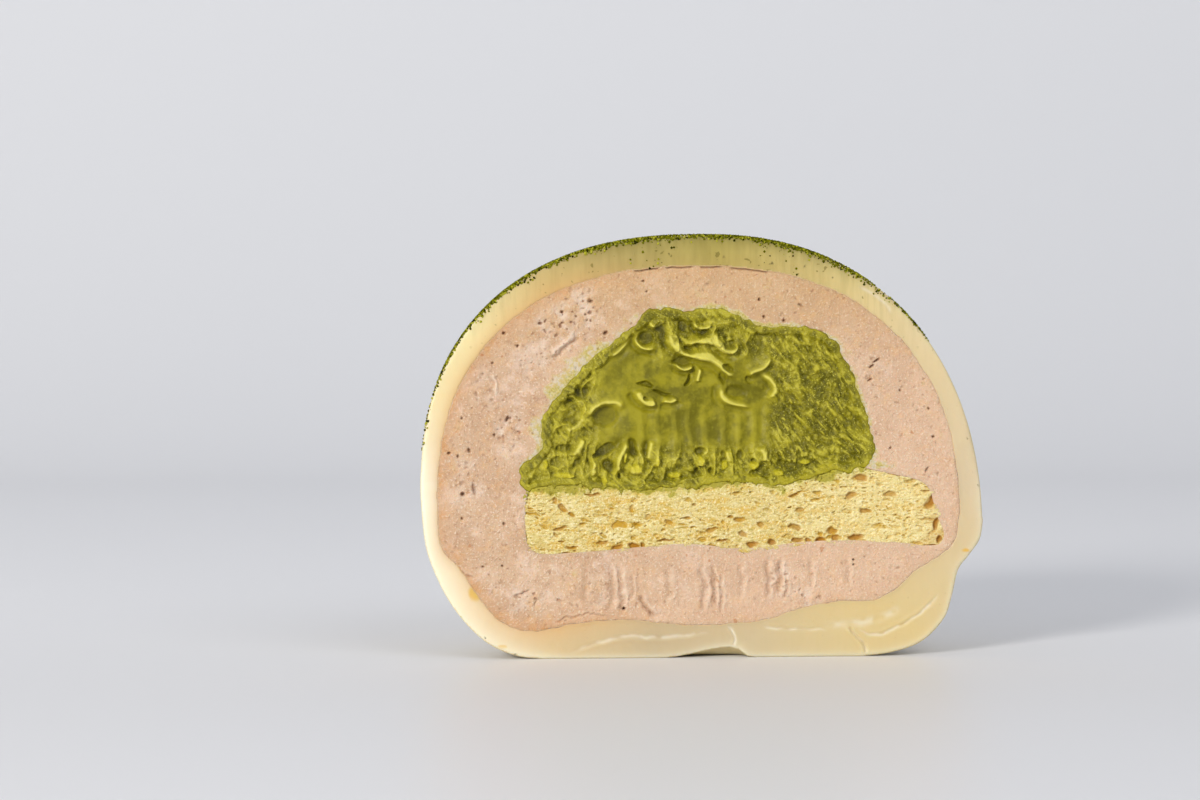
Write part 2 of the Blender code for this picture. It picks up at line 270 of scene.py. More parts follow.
def insideOutline(x, z, outline):
    found = np.zeros(x.shape, bool)
    for (ax, az), (bx, bz) in zip(outline, np.roll(outline, -1, axis=0)):
        if az == bz:
            continue
        crosses = (az > z) != (bz > z)
        found ^= crosses & (x < ax + (bx - ax) * (z - az) / (bz - az))
    return found


def edgeDistance(x, z, outline, reach):
    # distance to an outline, as far as reach
    distance = np.full(x.shape, reach)
    ends = np.roll(outline, -1, axis=0)
    lows = np.minimum(outline, ends) - reach
    highs = np.maximum(outline, ends) + reach
    order = np.argsort(x)
    sortedX, sortedZ = x[order], z[order]
    for start, end, low, high in zip(outline, ends, lows, highs):
        first, last = np.searchsorted(sortedX, (low[0], high[0]))
        partX, partZ = sortedX[first:last], sortedZ[first:last]
        near = (partZ > low[1]) & (partZ < high[1])
        chosen = order[first:last][near]
        step, fromX, fromZ = end - start, partX[near] - start[0], partZ[near] - start[1]
        length = max(float(step @ step), 1e-12)
        place = np.clip((fromX * step[0] + fromZ * step[1]) / length, 0, 1)
        away = np.hypot(fromX - place * step[0], fromZ - place * step[1])
        distance[chosen] = np.minimum(distance[chosen], away)
    return distance


def cutSheet(shells, spacing):
    # triangles that close the cut between the shells' outlines, on a fine grid
    outlines = [places[outline][:, [0, 2]] for places, _, outline in shells]

    def onSheet(x, z):
        found = insideOutline(x, z, outlines[0])
        for pocket in outlines[1:]:
            found &= ~insideOutline(x, z, pocket)
        return found

    low, high = outlines[0].min(0), outlines[0].max(0)
    rowHeight = spacing * math.sqrt(3) / 2
    columns = np.arange(int((high[0] - low[0]) / spacing) + 2)
    rows = np.arange(int((high[1] - low[1]) / rowHeight) + 2)
    gridX = (low[0] + (columns[None, :] + 0.5 * (rows[:, None] % 2)) * spacing).ravel()
    gridZ = np.broadcast_to(low[1] + rows[:, None] * rowHeight, (len(rows), len(columns))).ravel()
    keep = onSheet(gridX, gridZ)
    gridX, gridZ = gridX[keep], gridZ[keep]
    keep = np.ones(len(gridX), bool)
    edges, first = [], 0
    for outline in outlines:
        keep &= edgeDistance(gridX, gridZ, outline, spacing) > 0.6 * spacing
        count = len(outline)
        edges += [(first + n, first + (n + 1) % count) for n in range(count)]
        first += count
    grid = np.stack([gridX[keep], gridZ[keep]], 1)
    flat = [Vector(point) for point in np.vstack([*outlines, grid])]
    points, _, faces, sources, _, _ = geometry.delaunay_2d_cdt(flat, edges, [], 0, 1e-7)
    faces = np.array(faces)
    middle = np.array([tuple(point) for point in points])[faces].mean(1)
    source = np.array([given[0] for given in sources])
    return grid, source[faces[onSheet(middle[:, 0], middle[:, 1])]], outlines


def joinShells(shells, spacing):
    # one closed body: the first shell is its outside, a second one its pocket, and a sheet closes the cut;
    # gives also the number of the sheet's first own place, and the outlines
    grid, sheetFaces, outlines = cutSheet(shells, spacing)
    places, faces, rims, first = [], [], [], 0
    for number, (shellPlaces, shellFaces, outline) in enumerate(shells):
        places.append(shellPlaces)
        faces.append(shellFaces + first if number == 0 else (shellFaces + first)[:, ::-1])
        rims.append(outline + first)
        first += len(shellPlaces)
    sheet = np.concatenate([*rims, first + np.arange(len(grid))])
    places.append(np.stack([grid[:, 0], np.zeros(len(grid)), grid[:, 1]], 1))
    faces.append(sheet[sheetFaces])
    return np.vstack(places), np.vstack(faces), first, outlines


def rounding(distance, edge):
    # how far the sheet rolls back towards an edge that is rounded by so much
    return edge * np.exp(-1.6 * distance / edge)


def onSheetOnly(first, masks):
    # the shells before the sheet get nothing
    return {name: np.concatenate([np.zeros(first), values]) for name, values in masks.items()}


def makePiece(name, places, faces, material, masks):
    # a smooth mesh of triangles in the frame's metres, its faces outwards, with its masks as attributes
    mesh = bpy.data.meshes.new(name)
    count = len(faces)
    mesh.vertices.add(len(places))
    mesh.vertices.foreach_set("co", ((places + [0.0, cutY, 0.0]) * mm).astype(np.float32).ravel())
    mesh.loops.add(3 * count)
    mesh.loops.foreach_set("vertex_index", outwardFaces(places, faces).astype(np.int32).ravel())
    mesh.polygons.add(count)
    mesh.polygons.foreach_set("loop_start", np.arange(0, 3 * count, 3, dtype=np.int32))
    mesh.update(calc_edges=True)
    mesh.shade_smooth()
    for mask, values in masks.items():
        attribute = mesh.attributes.new(mask, "FLOAT", "POINT")
        attribute.data.foreach_set("value", np.clip(values, 0.0, 1.0).astype(np.float32))
    mesh.validate()
    mesh.materials.append(material)
    piece = bpy.data.objects.new(name, mesh)
    bpy.context.scene.collection.objects.link(piece)
    return piece


def outwardFaces(places, faces):
    # a closed body's faces all point out once its volume is positive
    a, b, c = (places[faces[:, corner]] for corner in range(3))
    volume = np.einsum("ij,ij->i", a, np.cross(b, c)).sum()
    return faces if volume > 0 else faces[:, ::-1]


# shader helpers: a wrapped socket takes part in plain Python sums

class Signal:
    def __init__(self, finish, socket):
        self.finish, self.socket = finish, socket

    def math(self, operation, first, second):
        return self.finish.node("Math", {"operation": operation}, {0: first, 1: second})

    def __add__(self, other):
        return self.math("ADD", self, other)

    __radd__ = __add__

    def __sub__(self, other):
        return self.math("SUBTRACT", self, other)

    def __rsub__(self, other):
        return self.math("SUBTRACT", other, self)

    def __mul__(self, other):
        return self.math("MULTIPLY", self, other)

    __rmul__ = __mul__

    def __truediv__(self, other):
        return self.math("DIVIDE", self, other)

    def between(self, low, high):
        # 0 below low, 1 above high, and smooth in between
        inputs = {0: self, 1: low, 2: high, 3: 0.0, 4: 1.0}
        return self.finish.node("MapRange", {"interpolation_type": "SMOOTHSTEP"}, inputs)


class Finish:
    # one material: constants go straight on its shader's own sockets
    def __init__(self, name, constants):
        self.material = bpy.data.materials.new(name)
        self.material.use_nodes = True
        self.tree = self.material.node_tree
        self.shader = self.tree.nodes["Principled BSDF"]
        for socket, value in constants.items():
            self.shader.inputs[socket].default_value = value
        self.place = self.node("TexCoord", output="Object")

    def node(self, kind, settings=None, inputs=None, output=0):
        node = self.tree.nodes.new("ShaderNode" + kind)
        for setting, value in (settings or {}).items():
            setattr(node, setting, value)
        for socket, value in (inputs or {}).items():
            self.plug(node.inputs[socket], value)
        return Signal(self, node.outputs[output])

    def plug(self, socket, value):
        if isinstance(value, Signal):
            self.tree.links.new(value.socket, socket)
        else:
            socket.default_value = value

    def mask(self, name):
        return self.node("Attribute", {"attribute_name": name}, output="Fac")

    def axis(self, name):
        # in millimetres
        return self.node("SeparateXYZ", inputs={0: self.place}, output=name) / mm

    def stretched(self, scale):
        return self.node("Mapping", inputs={"Vector": self.place, "Scale": scale}, output="Vector")

    def noise(self, size, detail=3.0, roughness=0.5, place=None):
        # size in millimetres, from 0 to 1
        inputs = {"Scale": 1 / (size * mm), "Detail": detail, "Roughness": roughness}
        return self.node("TexNoise", inputs={"Vector": place or self.place, **inputs}, output="Fac")

    def ramp(self, factor, stops):
        # stops are (position, tone)
        mixed = self.node("ValToRGB", inputs={"Fac": factor}, output="Color")
        elements = mixed.socket.node.color_ramp.elements
        while len(elements) < len(stops):
            elements.new(0.5)
        for element, (position, tone) in zip(elements, stops):
            element.position, element.color = position, tint(*tone)
        return mixed

    def blend(self, factor, first, second):
        first, second = (tint(*tone) if isinstance(tone, tuple) else tone for tone in (first, second))
        return self.node("Mix", {"data_type": "RGBA"}, {0: factor, 6: first, 7: second}, output=2)

    def layered(self, colour, *layers):
        # each layer is (factor, tone) and covers the ones before it as far as its factor says
        for factor, tone in layers:
            colour = self.blend(factor, colour, tone)
        return colour

    def bump(self, height, distance, strength):
        inputs = {"Height": height, "Distance": distance * mm, "Strength": strength}
        return self.node("Bump", inputs=inputs, output="Normal")

    def give(self, **signals):
        names = {"colour": "Base Color", "roughness": "Roughness", "normal": "Normal"}
        for name, signal in signals.items():
            self.plug(self.shader.inputs[names[name]], signal)
        return self.material


def tint(red, green, blue):
    # a screen colour as the shader's linear one
    linear = [((c / 255 + 0.055) / 1.055) ** 2.4 if c > 10 else c / 3294.6 for c in (red, green, blue)]
    return (*linear, 1.0)


# the rice skin: outside, hollow and the cut through its wall

skinShape = {
    "depthShare": 0.98,                 # the back is a little flatter than the sides
    "height": skinHigh.z,
    "notchReach": 55.0,                 # azimuth in degrees where the fold on the right has closed
    "girth": 34.0,                      # radius that turns azimuths into lengths
    "gatherRise": 9.0,                  # how far up the gathers reach
    "pinch": {"x": 3.7, "left": 9.0, "right": 2.3, "rise": 1.3, "depth": 1.8},
    "dome": {"right": (35.1, 14.0, 2.25), "behind": (35.1, 17.0, 2.3), "left": (35.1, 20.5, 2.36)},
    "flank": {
        "right": [(35.1, 16.8), (34.7, 14.5), (33.3, 12.5), (32.0, 10.7), (31.2, 7.4), (30.2, 4.6),
                  (27.4, 1.8), (23.8, 0.5), (20.0, 0.0)],
        "behind": [(34.8, 13.0), (33.6, 8.8), (31.8, 5.6), (28.9, 2.9), (26.0, 1.3), (23.0, 0.35),
                   (20.0, 0.0)],
        "left": [(34.5, 14.2), (32.9, 9.7), (30.9, 6.2), (28.4, 3.3), (26.0, 1.5), (23.0, 0.35),
                 (20.0, 0.0)],
    },
    "hollowTop": 48.6,
    "hollowDome": {"right": (32.0, 17.6, 2.3), "left": (32.9, 19.5, 2.4)},
    "hollowFlank": {
        "right": [(31.6, 14.6), (30.0, 12.8), (26.4, 10.7), (24.2, 8.6), (21.6, 7.2), (17.0, 7.0),
                  (12.0, 6.2), (7.5, 4.7), (0.0, 4.15)],
        "left": [(32.6, 14.4), (30.0, 10.9), (26.8, 6.3), (24.2, 4.2), (21.4, 3.5), (16.0, 4.4),
                 (11.0, 4.9), (5.4, 4.5), (0.0, 4.15)],
    },
    "rows": {"dome": 120, "flank": 100, "base": 18},
    "columns": 240,
    "hollowRows": {"dome": 220, "flank": 240},
    "hollowColumns": 20,
    "cutSpacing": 0.18,
    "cutEdge": 0.2,                     # how round the outer edge of the cut is
    "hollowEdge": 0.02,
    "hollowLumps": [(0.14, 1.9), (0.08, 0.8)],      # heights and sizes
    "toneCentre": 22.0,                 # the tones of the cut wall go round this height
    "dustFrom": 20.0,                   # height where the dusting starts
    "dustThickens": 30.0,               # how much higher it lies thickest
    "crown": 36.0,                      # above this its bare patches no longer hang down
}

# tones of the cut wall, from the left side down under the cake, up the right side and over the top: the
# left is painted brightest where the lamp lights it through the wall, the bottom is painted darker as
# shade, and the khaki over the top is tinted by the tea dusting
wallTonesAndLight = [
    (0.0, (235, 230, 208)), (0.07, (229, 213, 178)), (0.13, (200, 179, 136)), (0.2, (184, 166, 131)),
    (0.3, (193, 176, 139)), (0.4, (207, 185, 130)), (0.5, (203, 186, 153)), (0.6, (210, 191, 146)),
    (0.65, (205, 186, 126)), (0.7, (184, 166, 98)), (0.74, (168, 153, 76)), (0.81, (166, 150, 88)),
    (0.86, (190, 168, 108)), (0.91, (226, 212, 158)), (0.95, (225, 212, 164)), (1.0, (232, 226, 202)),
]

# small spots on the cut wall: (x, z), half sizes, and how amber they are; the others are dark
wallSpots = [
    ((-28.4, 8.4), (1.0, 1.5), 0.8), ((-27.6, 9.6), (0.5, 0.6), 0.7), ((32.9, 13.2), (0.7, 0.3), 0.9),
    ((-32.0, 16.4), (0.4, 0.5), 0.6), ((-31.0, 13.2), (0.5, 0.7), 0.6), ((29.0, 31.8), (0.24, 0.24), 0.7),
    ((22.0, 8.1), (0.3, 0.2), 0.6), ((23.8, 8.6), (0.4, 0.24), 0.7), ((-25.0, 1.6), (0.8, 0.3), 0.5),
    ((-27.2, 2.7), (0.12, 0.14), 0.0), ((-23.5, 0.6), (0.16, 0.12), 0.0),
    ((24.2, 43.7), (0.14, 0.12), 0.0), ((28.8, 38.2), (0.14, 0.16), 0.0),
    ((33.1, 27.2), (0.14, 0.14), 0.0), ((34.4, 21.3), (0.12, 0.14), 0.0),
    ((-12.6, 45.6), (0.14, 0.3), 0.0), ((16.0, 47.2), (0.14, 0.14), 0.0), ((8.6, 49.0), (0.16, 0.2), 0.0),
    ((-4.4, 50.2), (0.16, 0.24), 0.0), ((2.4, 49.8), (0.14, 0.2), 0.0), ((12.6, 48.6), (0.14, 0.24), 0.0),
]

# gathers round the foot: azimuth where each leaves the base, lean on the way up, depth and width
gathers = [
    (24, 16, 1.1, 3.8), (52, -14, 1.6, 3.4), (83, 20, 1.1, 4.0), (112, 12, 1.7, 3.6),
    (143, -18, 1.3, 3.8), (166, 8, 0.7, 3.4),
]
fineGathers = [
    (12, 26, 0.22, 1.1), (33, -30, 0.32, 1.3), (44, 24, 0.3, 1.2), (61, 34, 0.36, 1.4),
    (72, -22, 0.26, 1.0), (92, -30, 0.34, 1.3), (101, 30, 0.3, 1.1), (121, -26, 0.36, 1.3),
    (131, 32, 0.3, 1.2), (152, 24, 0.28, 1.1), (172, -20, 0.2, 1.0),
]


def skinProfile(side):
    rows = skinShape["rows"]
    flank = skinShape["flank"][side]
    profile = domeAndFlank(skinShape["dome"][side], flank, skinShape["height"], rows)
    inwards = np.linspace(flank[-1][0], 0.0, rows["base"] + 1)[1:]
    return np.vstack([profile, np.stack([inwards, np.zeros(rows["base"])], 1)])


def hollowProfile(side, distance=0.0):
    dome, flank = skinShape["hollowDome"][side], skinShape["hollowFlank"][side]
    profile = domeAndFlank(dome, flank, skinShape["hollowTop"], skinShape["hollowRows"])
    return roughened(grown(profile, distance), side, 19, *skinShape["hollowLumps"])


def pinch(x, y):
    # how high the pinched middle lifts the base
    form = skinShape["pinch"]
    reach = np.where(x < form["x"], form["left"], form["right"])
    return form["rise"] * smoothStep(1 - np.abs(x - form["x"]) / reach) * bell(y / form["depth"])


def gathered(x, y, z, azimuths):
    out, arc, high = np.hypot(x, y), azimuths * skinShape["girth"], z / skinShape["gatherRise"]
    fold, groove, fine = 0.0, 0.0, 0.0
    for start, lean, depth, width in gathers:
        across = (azimuths - np.radians(start + lean * high)) * out / width
        fold = fold + depth * (0.5 * bell(across - 1.6) - bell(across))
        groove = groove + depth * bell(across / 0.6)
    wander = 0.6 * grain(z, azimuths * 20, 4.0, 71)
    for start, lean, depth, width in fineGathers:
        across = (azimuths - np.radians(start + lean * high)) * out / width + wander
        fine = fine + depth * (0.7 * bell(across - 1.3) - bell(across))
    away = smoothStep((out - 12.0) / 8.0) * smoothStep(y / 8.0)
    soft = cloud(arc + 0.5 * z, z, 9.0, 31) * 0.22 + cloud(arc, z, 3.4, 37) * 0.05
    soft = soft * smoothStep(y / 5.0) * smoothStep(z / 4.0)
    shift = (fold * bell(high) + fine * bell((z - 1.0) / 5.5)) * away + soft
    grow = 1 + shift / np.maximum(out, 1.0)
    lift = (0.5 * groove * away + pinch(x, y)) * (1 - smoothStep(z / 2.0))
    return x * grow, y * grow, z + lift


# lines on the cut through the wall: points, width, depth of the groove, and how white it shows; the white
# is flour in the seams, and on the folds at the lower right a painted highlight
seams = [
    ([(3.8, 1.3), (4.0, 2.5), (3.0, 4.1)], 0.13, 0.16, 1.0),
    ([(2.1, 3.3), (-4.8, 2.6), (-9.9, 2.7), (-13.9, 1.8), (-16.8, 0.7)], 0.2, 0.1, 0.55),
    ([(20.5, 0.3), (20.2, 1.4), (18.8, 3.1), (18.2, 3.8)], 0.16, 0.25, 0.35),
    ([(19.0, 3.6), (21.6, 2.7), (25.1, 4.0), (27.8, 5.8), (29.8, 8.1)], 0.17, 0.13, 0.7),
    ([(7.2, 3.8), (10.6, 3.5), (15.8, 3.4)], 0.16, 0.08, 0.6),
    ([(14.6, 4.1), (18.8, 4.1), (22.6, 5.0), (24.9, 6.2)], 0.42, 0.06, 0.5),
    ([(19.0, 46.2), (20.9, 45.3), (22.8, 44.0), (23.6, 42.7)], 0.2, 0.12, 0.45),
    ([(25.2, 38.3), (28.4, 33.9), (30.2, 28.3), (31.5, 24.5)], 0.18, 0.05, 0.4),
]


def wallRelief(x, z):
    # how far the cut wall lies behind the cut, and how white its seams show, as flour and as painted
    # highlight on the folds
    behind = 0.10 * cloud(x, z, 7.0, 3) + 0.03 * cloud(x, z, 1.6, 5)
    white = np.zeros_like(x)
    for points, width, depth, whiteness in seams:
        distance, along = besideLine(x, z, points, 2.0)
        wobble = distance + 0.12 * grain(x, z, 0.9, 9)
        line = bell(wobble / width) * taper(along)
        broken = smoothStep(0.9 + 0.9 * grain(x, z, 0.8, 13))
        behind += depth * line
        behind -= 0.4 * depth * bell((distance - 2.2 * width) / (1.4 * width)) * taper(along)
        white = np.maximum(white, whiteness * line * broken)
    return behind, white


def makeSkin():
    outer = halfTurn(skinProfile, 0.0, skinShape["columns"], skinBlend, gathered, skinShape["cutEdge"])
    hollow = halfTurn(hollowProfile, 0.0, skinShape["hollowColumns"], squeeze=skinShape["hollowEdge"])
    places, faces, first, outlines = joinShells([outer, hollow], skinShape["cutSpacing"])
    x, z = places[first:, 0], places[first:, 2]
    behind, white = wallRelief(x, z)
    toEdge = edgeDistance(x, z, outlines[0], 2.0)
    toHollow = edgeDistance(x, z, outlines[1], 2.5)
    inner = smoothStep(np.minimum(toEdge, toHollow) / 0.5)
    places[first:, 1] = behind * inner + rounding(toEdge, skinShape["cutEdge"])
    places[first:, 1] += rounding(toHollow, skinShape["hollowEdge"])
    amber, fleck = np.zeros_like(x), np.zeros_like(x)
    for spot, size, yellow in wallSpots:
        ragged = dimple(x + 0.2 * grain(x, z, 0.5, 17), z, spot, size)
        mark = amber if yellow else fleck
        np.maximum(mark, ragged * (yellow or 1.0), out=mark)
    leftSide = smoothStep((-16.0 - x) / 10.0)
    # painted highlight: the cut's outer edge is lighter where the lamp on the left catches it, widest on
    # the left
    paintedLitEdge = np.exp(-toEdge / (0.35 + 0.9 * leftSide)) * smoothStep((26.0 + 3.0 * leftSide - z) / 9.0)
    streaks = 1 + 0.6 * cloud(x, z, 0.5, 15, 2, 4.0)
    masks = onSheetOnly(first, {
        "seamWhiteAndHighlight": white,
        "warm": np.exp(-toHollow / 1.3) * leftShare(x),
        "rim": np.exp(-toEdge / (1.3 * streaks)),
        "onCut": np.ones_like(x),
        "amber": amber,
        "fleck": fleck,
        "paintedLitEdge": paintedLitEdge,
        "spill": spilled(x, z, toEdge),
    })
    outside = np.arange(len(places)) < len(outer[0])
    masks["warm"][len(outer[0]) : first] = 1.0              # all over the hollow
    masks["powder"] = powderCover(places) * outside
    piece = makePiece("mochiSkin", places, faces, riceSkin(), masks)
    return dressed(piece, "rice_skin", "mochi_skin")


def leftShare(x):
    # painted glow: the left side is lit from behind its wall, so its inner edge is painted warmest
    return 0.25 + 0.75 * smoothStep((-4.0 - x) / 16.0)


def spilled(x, z, toEdge):
    # crumbs that fell from the top edge onto the cut, in a thin line with a few runs
    high = smoothStep((z - 40.0) / 7.0) * smoothStep((25.0 - x) / 8.0)
    line = bell(toEdge / (0.36 + 0.2 * cloud(x, z, 1.3, 141, 2)))
    runs = np.exp(-toEdge / 1.2) * smoothStep((grain(x, 0.0 * z, 0.8, 143) - 0.3) / 0.5)
    middle = smoothStep((x + 12.0) / 4.0) * smoothStep((19.0 - x) / 4.0)
    return high * (line + 0.09 * runs * middle)


def powderCover(places):
    # the dusting lies thick on top and thins out down the sides
    x, y, z = places.T
    across = np.arctan2(y, x) * skinShape["girth"]
    rise = z + 2.2 * cloud(across, z, 7.0, 41) - 6.0 * smoothStep((x - 10) / 16) - skinShape["dustFrom"]
    crown = smoothStep((z - skinShape["crown"]) / 8.0)
    mottled = (1 - crown) * cloud(across, z * 0.6, 2.3, 43, 3) + crown * cloud(x, y, 2.6, 44, 3)
    cover = smoothStep(rise / skinShape["dustThickens"]) * 1.25 + 0.9 * mottled - 0.3
    return np.clip(cover, 0.0, 1.0) * smoothStep(rise / 10.0)


def dressed(piece, slot, *nodes):
    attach(piece, "root")
    if nodes:
        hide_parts(*nodes)
    print(piece.name, len(piece.data.polygons), "faces")
    return piece


def riceSkin():
    finish = Finish("rice skin, dusted", {
        "Subsurface Weight": 0.3, "Subsurface Radius": (1.0, 0.62, 0.3), "Subsurface Scale": 3.0 * mm,
        "IOR": 1.42,
    })
    side, height, onCut = finish.axis("X"), finish.axis("Z"), finish.mask("onCut")
    fine, specks = finish.noise(0.5), finish.noise(0.42, 2.0, 0.6)
    top = height.between(36.0, 46.0)
    topLeft = (height - 0.08 * side).between(41.0, 50.5) * (side + 22.0).between(0.0, 12.0)
    streaks = finish.noise(1.4, 4.0, 0.6, finish.stretched((2.2, 1.0, 0.22)))
    around = finish.node("Math", {"operation": "ARCTAN2"}, {0: height - skinShape["toneCentre"], 1: side})
    # the cut wall's ramp carries painted light: brighter on the lit left, painted shade underneath
    cutColour = finish.layered(
        finish.ramp(around / (2 * math.pi) + 0.5, wallTonesAndLight),
        (streaks.between(0.4, 0.7) * (0.02 + 0.18 * top), (120, 106, 44)),
        (finish.mask("rim") * topLeft * 0.85, (112, 104, 30)),
    )
    outside = finish.layered(
        (222, 206, 168),
        ((9.0 - height).between(0.0, 8.0), (206, 186, 132)),
        (finish.noise(7.0).between(0.35, 0.7) * 0.5, (226, 208, 160)),
    )
    colour = finish.layered(
        finish.blend(onCut, outside, cutColour),
        # painted glow of light through the wall along the cut's inner edge; the hollow itself is warm all
        # over
        (finish.mask("warm") * 0.8, (211, 161, 102)),
        # painted highlight along the lit outer edge of the cut
        (finish.mask("paintedLitEdge") * 0.7, (238, 233, 208)),
        # white of flour in the seams, with painted highlight on the folds at the lower right
        (finish.mask("seamWhiteAndHighlight") * 0.9, (229, 222, 200)),
        (finish.mask("amber"), (214, 168, 62)),
        (finish.mask("fleck") * 0.9, (74, 64, 20)),
        (finish.noise(0.7, 1.0).between(0.7, 0.76) * top * onCut * 0.7, (112, 98, 30)),
    )
    cover = finish.mask("powder")
    powderColour = finish.layered(
        (104, 106, 8),
        (finish.noise(0.9), (150, 148, 32)),
        ((1.0 - cover).between(0.1, 0.9), (178, 172, 70)),
    )
    uneven = (specks - 0.5) * 2.2 + (finish.noise(1.1, 3.0, 0.6) - 0.5) * 0.9
    dust = (cover * 1.3 + uneven - 0.4).between(0.0, 0.5)
    colour = finish.blend(dust * (1 - onCut), colour, powderColour)
    grainy = finish.bump(fine * 0.5 + specks * dust * 2.0, 0.08, 0.6)
    return finish.give(colour=colour, roughness=0.42 + 0.25 * dust + 0.1 * fine, normal=grainy)


skinPiece = makeSkin()


# the filling's profiles turn about an axis a little to the right of the middle

fillingShape = {
    "axisX": 3.9,
    "spongeTop": {
        "right": [(0.0, 22.3), (5.0, 21.9), (8.2, 22.3), (10.7, 23.1), (14.5, 23.8), (16.4, 23.9)],
        "left": [(0.0, 22.3), (5.5, 21.9), (10.5, 21.3), (14.5, 21.3), (18.0, 21.8), (22.0, 21.9),
                 (26.0, 21.2)],
    },
    "spongeEnd": {
        "right": [(16.4, 23.9), (20.0, 23.1), (23.5, 22.2), (25.0, 20.6), (25.8, 17.8), (26.7, 15.2),
                  (25.8, 13.6), (23.5, 13.4)],
        "left": [(26.0, 21.2), (26.4, 19.3), (26.4, 16.5), (26.2, 14.4), (25.0, 12.9), (23.0, 12.6)],
    },
    "spongeUnder": {
        "right": [(23.5, 13.4), (20.7, 13.8), (14.5, 14.1), (8.2, 13.9), (3.5, 13.3), (0.0, 13.2)],
        "left": [(23.0, 12.6), (16.8, 13.0), (11.8, 13.4), (6.8, 13.8), (3.5, 13.6), (0.0, 13.2)],
    },
    "mound": {
        "right": [(0.0, 42.6), (1.4, 41.8), (3.4, 41.0), (7.0, 41.0), (10.2, 40.3), (12.6, 38.7),
                  (14.3, 35.0), (16.1, 30.6), (17.3, 26.2)],
        "left": [(0.0, 42.6), (2.4, 43.3), (6.8, 42.9), (10.5, 43.2), (12.4, 41.4), (16.8, 37.7),
                 (22.8, 31.6), (23.7, 29.4), (23.8, 26.2), (26.4, 23.4)],
    },
}


def fillingBody(profile, look):
    shell = halfTurn(profile, fillingShape["axisX"], look["columns"], squeeze=look["edge"])
    places, faces, first, outlines = joinShells([shell], look["spacing"])
    return places, faces, first, outlines[0]


def mound(side, count):
    return smoothLeg([*fillingShape["mound"][side], fillingShape["spongeTop"][side][-1]], count)


def spongeEdge(side, count):
    end = smoothLeg(fillingShape["spongeEnd"][side], count)
    return np.vstack([end, smoothLeg(fillingShape["spongeUnder"][side], count)[1:]])


# the pink cream: pores, drag marks and crumbly patches on its cut side

creamLook = {
    "spacing": 0.136,                   # between the places of the cut's grid
    "recess": 0.005,                    # how far it lies behind the cut
    "edge": 0.01,
    "underFilling": 0.4,                # how far it reaches in behind the filling's edges
    "underSkin": 0.08,
    "gapDepth": 0.8,                    # of the dark gaps under the skin
    "poreDepth": 0.28,
    "crumbleDepth": 0.2,
    "patchSize": 1.3,                   # the patches' sizes are multiplied by this
    "columns": 20,
}

# gaps between the cream and the skin above it, painted dark as shade: from x to x
creamGaps = [(-8.8, -5.4), (-4.9, -1.2), (-0.6, 2.4), (3.2, 8.2)]

# single holes: (x, z), half sizes, tilt, depth
creamHoles = [
    ((-31.6, 25.6), (0.3, 0.22), 20, 0.5), ((-30.5, 25.2), (0.22, 0.3), 0, 0.4),
    ((-29.1, 25.9), (0.25, 0.4), 15, 0.5), ((-29.9, 20.5), (0.36, 0.34), 0, 0.6),
    ((-30.0, 17.5), (0.2, 0.26), 0, 0.4), ((-24.8, 16.8), (0.2, 0.3), 30, 0.4),
    ((-31.9, 12.8), (0.2, 0.2), 0, 0.4), ((-27.4, 11.5), (0.24, 0.2), 0, 0.4),
    ((-25.0, 11.6), (0.22, 0.2), 0, 0.4), ((-9.9, 6.2), (0.26, 0.24), 0, 0.9),
    ((18.8, 12.1), (0.2, 0.18), 0, 0.5), ((18.8, 11.5), (0.16, 0.16), 0, 0.5),
    ((6.9, 44.5), (0.2, 0.26), 0, 0.5), ((10.0, 41.9), (0.24, 0.22), 0, 0.5),
    ((28.8, 27.4), (0.26, 0.2), 0, 0.5), ((23.4, 26.0), (0.2, 0.2), 0, 0.4),
    ((-24.8, 40.4), (0.3, 0.26), 0, 0.5), ((-23.1, 38.8), (0.26, 0.22), 40, 0.5),
    ((-26.2, 36.7), (0.22, 0.2), 0, 0.4), ((-30.0, 29.9), (0.2, 0.2), 0, 0.4),
    ((-26.0, 27.8), (0.22, 0.3), 0, 0.4), ((-19.6, 27.5), (0.34, 0.3), 0, 0.9),
    ((-16.2, 47.0), (0.22, 0.2), 0, 0.4), ((-7.5, 46.8), (0.24, 0.2), 0, 0.4),
    ((-7.1, 45.5), (0.2, 0.18), 0, 0.4), ((28.2, 30.9), (0.2, 0.24), 0, 0.4),
    ((20.6, 28.8), (0.18, 0.2), 0, 0.4), ((-28.5, 21.1), (0.3, 1.0), 12, 0.4),
    ((21.6, 36.9), (0.65, 0.16), 30, 0.5), ((21.0, 36.2), (0.5, 0.16), 34, 0.5),
    ((12.1, 43.8), (0.5, 0.18), -30, 0.4), ((28.0, 23.3), (0.5, 0.16), 60, 0.4),
    ((20.8, 34.5), (0.55, 0.14), 26, 0.4), ((7.5, 42.4), (0.24, 0.22), 0, 0.4),
    ((-14.0, 44.3), (0.3, 0.22), 10, 0.5), ((-17.6, 43.0), (0.3, 0.24), 0, 0.5),
    ((-20.3, 41.6), (0.34, 0.26), 0, 0.5), ((-12.2, 40.4), (0.4, 0.3), 30, 0.5),
    ((-24.4, 29.8), (0.5, 0.26), 70, 0.5), ((24.6, 33.2), (0.2, 0.2), 0, 0.4),
    ((-33.0, 19.4), (0.16, 0.2), 0, 0.4), ((26.4, 19.6), (0.2, 0.2), 0, 0.4),
]

